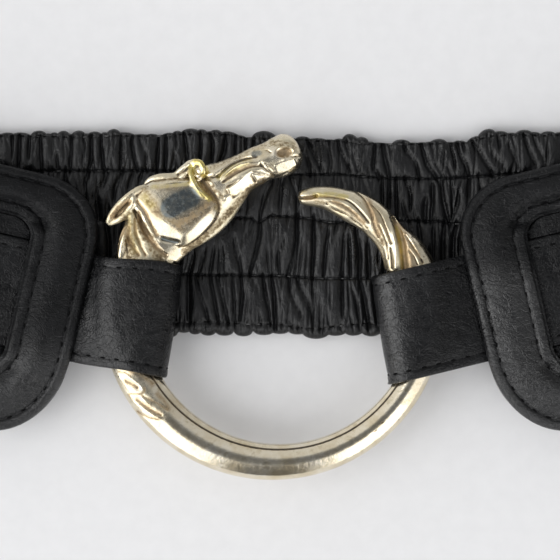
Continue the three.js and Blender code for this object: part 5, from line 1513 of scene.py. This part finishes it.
# Dark spots on the tail: x, y, half length, half width and turn in degrees. Then tarnish, and marks as above.
TAIL_SPOTS = [(34.3, 12.5, 0.5, 0.16, -35), (30.8, 18.2, 0.5, 0.16, -60), (8.6, 26.8, 0.6, 0.2, 5)]
TAIL_TARNISH = [
    ([(21.2, 24.8), (22.6, 21.4), (23.8, 18.0), (25.0, 15.4)], 1.1, 0.75),
    ([(13.0, 25.6), (17.0, 23.6), (20.2, 20.8)], 0.7, 0.73), ([(8.6, 25.4), (11.6, 25.2)], 0.9, 0.68),
    ([(29.2, 17.4), (30.2, 13.0), (31.0, 9.6)], 1.2, 0.76),
    ([(23.2, 16.4), (24.6, 13.4), (25.2, 10.0)], 1.0, 0.68), ([(31.6, 15.6), (34.2, 10.4)], 0.9, 0.68),
]
TAIL_MARKS = {
    "yellowed": [
        ([(8.5, 27.2), (12.0, 27.3), (16.0, 26.7)], 0.6, 0.7),
        ([(27.8, 19.5), (28.9, 14.8), (29.1, 10.0)], 0.5, 0.8),
    ],
    "matt": [([(8, 26.2), (16, 24.6), (22.6, 19.6), (26.5, 14), (31, 11)], 4.6, 0.75)],
    "browned": [
        ([(28.6, 19.4), (29.4, 16.0), (30.2, 12.9), (31.2, 9.6)], 1.5, 1.3),
        ([(20.9, 25.8), (22.4, 21.8), (23.6, 18.0)], 1.1, 0.95), ([(30.6, 16.0), (33, 12.6)], 0.6, 0.8),
        ([(13.0, 25.4), (17.0, 23.2), (20.0, 20.6)], 0.7, 0.9), ([(6.5, 26.4), (9.5, 26.6)], 0.8, 0.7),
        ([(22.6, 23.6), (25.0, 19.6), (26.2, 16)], 0.5, 0.6), ([(8.8, 26.8), (15.3, 26.0)], 0.4, 0.6),
    ],
}
LEAST_HALF_HEIGHT = 0.3
LOCK_SECTIONS = 36
LOCK_SIDES = 14
LOCK_FLATNESS = 0.8
LEAST_LOCK = 0.12


def cast_sections(rows, count, sides):
    """Oval sections between the outer and the inner edge."""
    angle = 2 * math.pi * np.arange(sides) / sides
    made = []
    for ox, oy, ix, iy, half in through(rows, count):
        middle = np.array([(ox + ix) / 2, (oy + iy) / 2, RING_Z])
        across = np.array([(ox - ix) / 2, (oy - iy) / 2, 0])
        up = np.array([0, 0, max(half, LEAST_HALF_HEIGHT)])
        made.append(middle + np.cos(angle)[:, None] * across + np.sin(angle)[:, None] * up)
    return made


def lock(name, rows):
    """One lock of hair or raised fold, drawn out along its line."""
    rows = through(rows, LOCK_SECTIONS)
    centre = rows[:, :3] + np.array([0, 0, RING_Z])
    way = np.gradient(centre, axis=0)
    way /= np.linalg.norm(way, axis=1)[:, None]
    side = np.cross(way, [0, 0, 1.0])
    side /= np.linalg.norm(side, axis=1)[:, None]
    up = np.cross(side, way)
    angle = 2 * math.pi * np.arange(LOCK_SIDES) / LOCK_SIDES
    made = []
    for p, s, h, r in zip(centre, side, up, rows[:, 3]):
        r = max(r, LEAST_LOCK)
        made.append(p + r * (np.cos(angle)[:, None] * s + LOCK_FLATNESS * np.sin(angle)[:, None] * h))
    return drawn_out(name, made)


def cheek():
    """The shield-shaped cheek: a bevelled edge round a gently domed face."""
    table = np.array(CHEEK[-1:] + CHEEK + CHEEK[:3], float)
    ring = through(table, CHEEK_STEPS * (len(table) - 1) + 1)
    ring = ring[CHEEK_STEPS : CHEEK_STEPS * (len(CHEEK) + 1)]
    edge, foot = ring[:, :2], ring[:, 2:5]
    x, y, top = CHEEK_TOP

    def dome(places):
        off = (places - np.array([x, y])) / np.array(CHEEK_BEND)
        return top - 0.5 * ((places - np.array([x, y])) * off).sum(axis=1)

    foot = np.column_stack([foot[:, :2], dome(edge) - foot[:, 2]])
    made = [np.column_stack([foot[:, :2], np.full(len(foot), CHEEK_ROOT)]), foot]
    for share in CHEEK_SHARES:
        places = np.array([x, y]) + (edge - np.array([x, y])) * share
        made.append(np.column_stack([places, dome(places)]))
    return drawn_out("cheek", [places + np.array([0, 0, RING_Z]) for places in made])


def eye():
    e = EYE_RING
    pick_nothing()
    bpy.ops.mesh.primitive_torus_add(
        major_radius=e["radius"] * MM, minor_radius=e["thickness"] * MM, major_segments=40, minor_segments=14,
        location=in_scene((e["x"], e["y"], RING_Z + e["rise"])), rotation=(-e["lean"][1], e["lean"][0], 0),
    )
    ring = bpy.context.object
    ring.scale = e["stretch"]
    bpy.ops.object.transform_apply(location=True, rotation=True, scale=True)
    b = EYE_BALL
    pick_nothing()
    bpy.ops.mesh.primitive_uv_sphere_add(
        segments=24, ring_count=16, radius=b["radius"] * MM,
        location=in_scene((b["x"], b["y"], RING_Z + b["rise"])),
    )
    ball = bpy.context.object
    bpy.ops.object.transform_apply(location=True)
    return [ring, ball]


def distance_to_line(x, y, line):
    """Distance in plan from each place to a line of points."""
    best = np.full(len(x), 1e9)
    for (ax, ay), (bx, by) in zip(line[:-1], line[1:]):
        dx, dy = bx - ax, by - ay
        t = np.clip(((x - ax) * dx + (y - ay) * dy) / (dx * dx + dy * dy), 0, 1)
        best = np.minimum(best, np.hypot(x - ax - t * dx, y - ay - t * dy))
    return best


def chase(piece, lines=(), dents=(), rims=()):
    """Ridges, grooves and dents worked into the upper side."""
    p = points_of(piece)
    up = smooth(normals_of(piece)[:, 2] / 0.5)
    rise = np.zeros(len(p))
    for line, half, height in lines:
        d = distance_to_line(p[:, 0], p[:, 1], through(line, 6 * len(line)))
        rise += height * np.exp(-((d / half) ** 2))
    for x, y, long, wide, turn, height in dents:
        a, b = oval(p, x, y, turn)
        rise += height * np.exp(-(((a / long) ** 2 + (b / wide) ** 2) ** 2))
    for x, y, long, wide, turn, height in rims:
        a, b = oval(p, x, y, turn)
        r = np.hypot(a / long, b / wide)
        rise += height * np.exp(-(((r - 1) / RIM_HALF) ** 2))
    p[:, 2] += rise * up
    place_points(piece, p)


def facet(piece, x, y, long, wide, turn, fall, sunk):
    """Cuts one flat facet into the upper side."""
    p = points_of(piece)
    above = p[:, 2] > RING_Z
    a, b = oval(p, x, y, turn)
    along, across = (1 - np.abs(a) / long) / FACET_ENDS, (1 - np.abs(b) / wide) / FACET_SIDES
    inside = smooth(along) * smooth(across) * above
    level = p[above & (np.hypot(a, b) < 0.5), 2].mean() - sunk + fall * b
    p[:, 2] += (level - p[:, 2]) * inside
    place_points(piece, p)


def oval(p, x, y, turn):
    """The points' places along and across an oval at x, y."""
    c, s = math.cos(math.radians(turn)), math.sin(math.radians(turn))
    dx, dy = p[:, 0] - x, p[:, 1] - y
    return dx * c + dy * s, -dx * s + dy * c


def mark_hollows(piece, rounds, reach):
    """Keeps on each point how deep it lies in a hollow: 0.5 on a plain face, 1 in a deep one."""
    p = points_of(piece)
    edges = np.zeros(len(piece.data.edges) * 2, int)
    piece.data.edges.foreach_get("vertices", edges)
    a, b = edges.reshape(-1, 2).T
    count = np.bincount(a, minlength=len(p)) + np.bincount(b, minlength=len(p))
    count = np.maximum(count, 1)[:, None]
    eased = p.copy()
    for _ in range(rounds):
        total = np.zeros_like(p)
        for axis in range(3):
            total[:, axis] = np.bincount(a, eased[b, axis], len(p)) + np.bincount(b, eased[a, axis], len(p))
        eased = total / count
    depth = ((eased - p) * normals_of(piece)).sum(axis=1)
    keep_on_points(piece, "hollow", np.clip(0.5 + depth / reach, 0, 1))


def blacken(piece, spots=(), lines=()):
    """Makes small spots as dark as a deep hollow, and lines as dark as their share of one."""
    p = points_of(piece)
    hollow = np.zeros(len(p), np.float32)
    piece.data.attributes["hollow"].data.foreach_get("value", hollow)
    for x, y, long, wide, turn in spots:
        a, b = oval(p, x, y, turn)
        dark = np.exp(-(((a / long) ** 2 + (b / wide) ** 2) ** 2)) * (p[:, 2] > RING_Z)
        hollow = np.maximum(hollow, dark)
    for line, half, share in lines:
        d = distance_to_line(p[:, 0], p[:, 1], line)
        hollow = np.maximum(hollow, share * np.exp(-((d / half) ** 4)) * (p[:, 2] > RING_Z))
    keep_on_points(piece, "hollow", hollow)


def mark(piece, name, spots):
    """Keeps a share from 0 to 1 on each point near the given lines: line, half width, share."""
    p = points_of(piece)
    amount = np.zeros(len(p))
    for line, half, share in spots:
        d = distance_to_line(p[:, 0], p[:, 1], line)
        amount = np.maximum(amount, share * np.exp(-((d / half) ** 4)))
    keep_on_points(piece, name, np.minimum(amount, 1) * (p[:, 2] > RING_Z))


def horse_head():
    forms = [drawn_out("horse_head", cast_sections(HEAD_SECTIONS, count=90, sides=64)), cheek(), *eye()]
    forms += [lock(name, rows) for name, rows in MANE.items()]
    head = joined("horse_head", forms)
    cast_together(head, grain=0.24, rounds=5)
    grooves = [(line, half, depth) for line, half, depth, *_ in MANE_GROOVES]
    chase(head, grooves + HEAD_LINES, HEAD_DENTS, [NOSTRIL_RIM])
    soften(head, rounds=2)
    for cut in MUZZLE_FACETS:
        facet(head, *cut)
    mark_hollows(head, rounds=14, reach=0.3)
    in_grooves = [(line, half, dark) for line, _, _, half, dark, *_ in MANE_GROOVES]
    blacken(head, lines=in_grooves + HEAD_TARNISH)
    for name, spots in HEAD_MARKS.items():
        mark(head, name, spots)
    return head


def horse_tail():
    tail = drawn_out("horse_tail", cast_sections(TAIL_SECTIONS, count=80, sides=48))
    cast_together(tail, grain=0.2, rounds=2)
    chase(tail, [(line, half, TAIL_RELIEF * rise) for line, half, rise in TAIL_LINES])
    soften(tail, rounds=1)
    mark_hollows(tail, rounds=12, reach=0.16)
    blacken(tail, TAIL_SPOTS, TAIL_TARNISH)
    for name, spots in TAIL_MARKS.items():
        mark(tail, name, spots)
    return tail


RING_FROM = 8.0
RING_TO = -190.0
RING_STEPS = 440
# The incised line, in from the ring's inner edge: angle in degrees, distance.
LINE_IN = [
    (-190, 1.8), (-148, 1.8), (-135, 1.58), (-120, 1.38), (-90, 1.24), (-60, 1.2), (-32, 1.05), (8, 1.05),
]
LINE_HALF = 0.22
LINE_DEPTH = 0.12
LINE_DARK_HALF = 0.29
# Round the section, in radians from the outer edge: the stretch with the line, where points lie close.
LINE_STRETCH = (2.15, 2.65)
RING_DULL = [([(-37, -15), (-33, -20), (-29, -24)], 3.0, 0.5)]
# The inner flank is a straight bevel where it shows: how far in it starts and how wide its rounded edge is,
# as shares of half the width, and from which angle to which, fading over the last number of degrees.
BEVEL_FROM = 0.52
BEVEL_EDGE = 0.06
BEVEL_SHOWS = (-31.0, -149.0, 6.0)


def ring_arc():
    """The ring's plain arc, with the line incised along its inner side."""
    angle = np.radians(np.linspace(RING_FROM, RING_TO, RING_STEPS))
    stretches = ((0, LINE_STRETCH[0], 30), (*LINE_STRETCH, 22), (LINE_STRETCH[1], 2 * math.pi, 44))
    around = np.concatenate([np.linspace(*stretch, endpoint=False) for stretch in stretches])
    edges = []
    for x, y, radius in (RING_OUTER, RING_INNER_SEEN):
        edges.append(np.stack([x + radius * np.cos(angle), y + radius * np.sin(angle)], axis=-1))
    outer, inner = edges
    half = np.linalg.norm(outer - inner, axis=1)[:, None] / 2
    degrees = np.degrees(angle)
    line_in = np.interp(degrees, *zip(*LINE_IN))[:, None]
    from_inner = half * (1 + np.cos(around))
    cut = LINE_DEPTH * np.exp(-(((from_inner - line_in) / LINE_HALF) ** 2)) * (np.sin(around) > 0)
    middle, across = (outer + inner)[:, None, :] / 2, (outer - inner)[:, None, :] / 2
    xy = middle + np.cos(around)[None, :, None] * across
    right, left, fade = BEVEL_SHOWS
    showing = smooth((right - degrees) / fade) * smooth((degrees - left) / fade)
    start = math.sqrt(1 - BEVEL_FROM**2)
    bevel = start + BEVEL_FROM / start * (np.cos(around) + BEVEL_FROM)
    to_edge = np.clip((1 + np.cos(around)) / BEVEL_EDGE, 0, 1)
    bevel = bevel * np.sqrt(to_edge * (2 - to_edge))
    on_bevel = (np.cos(around) < -BEVEL_FROM) & (np.sin(around) > 0)
    rise = np.sin(around) + showing[:, None] * on_bevel * (bevel - np.sin(around))
    z = RING_Z + np.minimum(half, RING_HALF_HEIGHT) * rise - cut
    ring = drawn_out("ring_arc", np.concatenate([xy, z[:, :, None]], axis=2))
    chase(ring, RING_LEAVES)
    mark_hollows(ring, rounds=6, reach=0.2)
    x, y, radius = RING_INNER_SEEN
    along = slice(None, None, 6)
    way_out = np.stack([np.cos(angle), np.sin(angle)], axis=-1)
    incised = (np.array([x, y]) + (radius + line_in) * way_out)[along]
    blacken(ring, RING_PITS, [(incised, LINE_DARK_HALF, 1.0), *RING_TARNISH_AND_SHADE])
    mark(ring, "matt", RING_DULL)
    # Browned along them too, the strap's painted shadow with them.
    mark(ring, "browned", [(line, 1.6 * half, 0.8) for line, half, _ in RING_TARNISH_AND_SHADE])
    return ring


# Making the belt.

# Where a sheen is painted on the leather, raising its gloss where the light catches it: for the panels, from
# which y down and over what length; for the straps, the middle x, the half width and the share.
PANEL_PAINTED_SHEEN = {"right": (13.5, 9.0), "left": (-4.0, 11.0)}
STRAP_PAINTED_SHEEN = {"right": (26.0, 5.0, 0.85), "left": (-41.0, 7.0, 0.42)}


# Keeps on each point its share of the painted sheen, which raises the leather's gloss.
def painted_sheen(piece, amount):
    keep_on_points(piece, "painted_sheen", amount(points_of(piece)))


BAND_STITCH_PITCH = 2.6
BAND_STITCH_RISE = np.array([0, 0, 0.12])
ROW_EASE = 9  # over how many columns a row is evened for its stitches
CREASE_ANGLE = math.radians(50)  # the lining's edges stay sharp above it
HEM_ROWS_BELOW = len(HEM_SHARES) - 1
ROWS_A_CHANNEL = 2 * len(BAND_SHARES) - 2

# The left panel's leather is a copy with less gloss than the right's: painted shade that keeps the left panel
# darker.
leather = {
    "right": panel_leather("panel_leather_right", gloss=0.19, smoothest=0.26, roughest=0.42, wrinkled=1.0),
    "left": panel_leather("panel_leather_left", gloss=0.155, smoothest=0.3, roughest=0.46, wrinkled=0.8),
}
strap_leather = panel_leather("strap_leather", gloss=0.21, smoothest=0.22, roughest=0.36, wrinkled=0.8)
band_finish = band_leather()
# The band's thread gets the painted glints, the panels' thread none.
thread = stitch_thread("stitch_thread", glinting=0.0)
band_thread = stitch_thread("band_stitch_thread", glinting=0.8)
gilt = cast_metal()

band, band_upper = gathered_band()
finished(band, "gathered_band", band_finish)

rows = panel_rows()
lining = panel_lining()
pattern_stitch = one_stitch()
sewn = []
for number in range(len(STITCHED_ROWS)):
    row = band_upper[HEM_ROWS_BELOW + number * ROWS_A_CHANNEL]
    even = np.stack([np.convolve(row[:, k], np.ones(ROW_EASE) / ROW_EASE, "same") for k in range(3)], axis=-1)
    even = even[ROW_EASE - 1 : 1 - ROW_EASE]
    sewn += along_row(even + BAND_STITCH_RISE, BAND_STITCH_PITCH, closed=False)
band_stitches = stitched("band_stitches", pattern_stitch, sewn, length=1.05, thickness=0.75)
finished(band_stitches, None, band_thread)
for side in ("right", "left"):
    turned = (lambda p: p) if side == "right" else mirrored_x
    panel = drawn_out("panel_leather_" + side, [turned(row) for row in rows], looped=True)
    # A sheen painted on the panel's lower part, where the light catches it.
    top, over = PANEL_PAINTED_SHEEN[side]
    painted_sheen(panel, lambda p: smooth((top - p[:, 1]) / over))
    finished(panel, "panel_frame_" + side, leather[side])
    back = drawn_out("panel_lining_" + side, [turned(section) for section in lining])
    bpy.ops.object.shade_smooth_by_angle(angle=CREASE_ANGLE)
    finished(back, "panel_backing_" + side, leather[side])

    outside, inside = strap_points(side)
    both = zip(np.swapaxes(outside, 0, 1), np.swapaxes(inside, 0, 1))
    sections = [turned(np.concatenate([out, back_in[::-1]])) for out, back_in in both]
    strap = drawn_out("strap_" + side, sections)
    # A sheen painted along the strap, where the light catches its rise and fold.
    middle, half, share = STRAP_PAINTED_SHEEN[side]
    painted_sheen(strap, lambda p: share * np.exp(-(((p[:, 0] - middle) / half) ** 4)))
    finished(strap, "strap_loop_" + side, strap_leather)

    sewn = []
    for row in (PANEL_STITCH_ROW, WINDOW_STITCH_ROW):
        sewn += along_row(turned(rows[row] + STITCH_RISE), STITCH_PITCH, closed=True)
    profile = [d for d, _ in STRAP_PROFILE]
    place = profile.index(STRAP_STITCH_IN)
    for column in (place, len(strap_across()) - 1 - place):
        sewn += along_row(turned(outside[column]), STITCH_PITCH, closed=False)
    stitches = stitched("panel_stitches_" + side, pattern_stitch, sewn)
    finished(stitches, None, thread)

bpy.data.objects.remove(pattern_stitch)

for part in (ring_arc(), horse_head(), horse_tail()):
    finished(part, "ring_buckle", gilt)

# The table, the light and the camera. Sizes are in metres here.

TABLE_SIZE = 4.0
TABLE_GAP = 0.0002  # the table lies this far below the belt
pick_nothing()
bpy.ops.mesh.primitive_plane_add(size=TABLE_SIZE, location=(0, 0, -TABLE_GAP))
table = bpy.context.object
table.name = table.data.name = "pale_table"
bpy.ops.object.transform_apply(location=True)
table.data.materials.append(pale_floor())


LAMP_PLACE = (-1.3, -0.1, 1.2)
LAMP_AIM = (0, 0, 0.01)
LAMP_SIZE = (1.2, 1.6)
LAMP_POWER = 10
bpy.ops.object.light_add(type="AREA", location=LAMP_PLACE)
lamp = bpy.context.object
lamp.name = "window_left"
lamp.data.shape = "RECTANGLE"
lamp.data.size, lamp.data.size_y = LAMP_SIZE
lamp.data.energy = LAMP_POWER
way = np.array(LAMP_AIM, float) - np.array(LAMP_PLACE, float)
lamp_tilt = math.atan2(math.hypot(way[0], way[1]), -way[2])
lamp.rotation_euler = (lamp_tilt, 0, math.atan2(way[1], way[0]) - math.pi / 2)

# How bright the room is all round, at mid height: share of a turn from the left, then a grey level.
ROOM_ROUND = [
    (0.0, 1.0), (0.025, 1.5), (0.05, 2.6), (0.08, 2.6), (0.125, 2.4), (0.175, 2.2), (0.198, 0.6),
    (0.22, 0.15), (0.272, 0.17), (0.30, 0.8), (0.325, 2.4), (0.38, 2.4), (0.42, 1.3), (0.47, 0.6),
    (0.55, 0.42), (0.75, 0.66), (0.9, 0.85), (1.0, 1.0),
]
BRIGHTEST = 2.6
# The ceiling: between which heights of the view the walls go over into it, its grey levels and its tint.
OVERHEAD_FROM = 0.89
OVERHEAD_TO = 0.965
OVERHEAD = [(0.93, 0.32), (0.99, 0.16)]
CEILING_TINT = (0.94, 0.98, 1.06)

world = bpy.data.worlds.new("light_tent")
bpy.context.scene.world = world
world.use_nodes = True
sky = world.node_tree


def sky_node(kind, **settings):
    made = sky.nodes.new("ShaderNode" + kind)
    for key, value in settings.items():
        setattr(made, key, value)
    return made


axes = sky_node("SeparateXYZ")
sky.links.new(sky_node("TexCoord").outputs["Generated"], axes.inputs[0])
bearing = sky_node("Math", operation="ARCTAN2")
sky.links.new(axes.outputs["Y"], bearing.inputs[0])
sky.links.new(axes.outputs["X"], bearing.inputs[1])
turn_share = sky_node("MapRange")
turn_share.inputs["From Min"].default_value = -math.pi
turn_share.inputs["From Max"].default_value = math.pi
sky.links.new(bearing.outputs[0], turn_share.inputs["Value"])
walls = sky_node("ValToRGB")
sky.links.new(turn_share.outputs["Result"], walls.inputs["Fac"])
walls.color_ramp.interpolation = "EASE"
while len(walls.color_ramp.elements) < len(ROOM_ROUND):
    walls.color_ramp.elements.new(0.5)
for element, (at, level) in zip(walls.color_ramp.elements, ROOM_ROUND):
    element.position = at
    element.color = (level / BRIGHTEST, level / BRIGHTEST, level / BRIGHTEST, 1)
overhead = sky_node("MapRange", interpolation_type="SMOOTHSTEP")
overhead.inputs["From Min"].default_value = OVERHEAD_FROM
overhead.inputs["From Max"].default_value = OVERHEAD_TO
sky.links.new(axes.outputs["Z"], overhead.inputs["Value"])
room = sky_node("Mix", data_type="RGBA")
sky.links.new(overhead.outputs["Result"], room.inputs[0])
sky.links.new(walls.outputs["Color"], room.inputs[6])
ceiling = sky_node("ValToRGB")
sky.links.new(axes.outputs["Z"], ceiling.inputs["Fac"])
for element, (at, level) in zip(ceiling.color_ramp.elements, OVERHEAD):
    element.position = at
    element.color = (*(tint * level / BRIGHTEST for tint in CEILING_TINT), 1)
sky.links.new(ceiling.outputs["Color"], room.inputs[7])
backdrop = sky.nodes["Background"]
sky.links.new(room.outputs[2], backdrop.inputs["Color"])
backdrop.inputs["Strength"].default_value = BRIGHTEST
bpy.context.scene.view_settings.view_transform = "Standard"

CAMERA_AIM = (0.0002, 0.00283, 0.010)
CAMERA_AWAY = 0.70
CAMERA_LENS = 189.0
aim_x, aim_y, aim_z = CAMERA_AIM
bpy.ops.object.camera_add(location=(aim_x, aim_y, aim_z + CAMERA_AWAY), rotation=(0, 0, 0))
camera = bpy.context.object
camera.data.lens = CAMERA_LENS
camera.data.sensor_width = 36.0
camera.data.clip_start = 0.01
bpy.context.scene.camera = camera
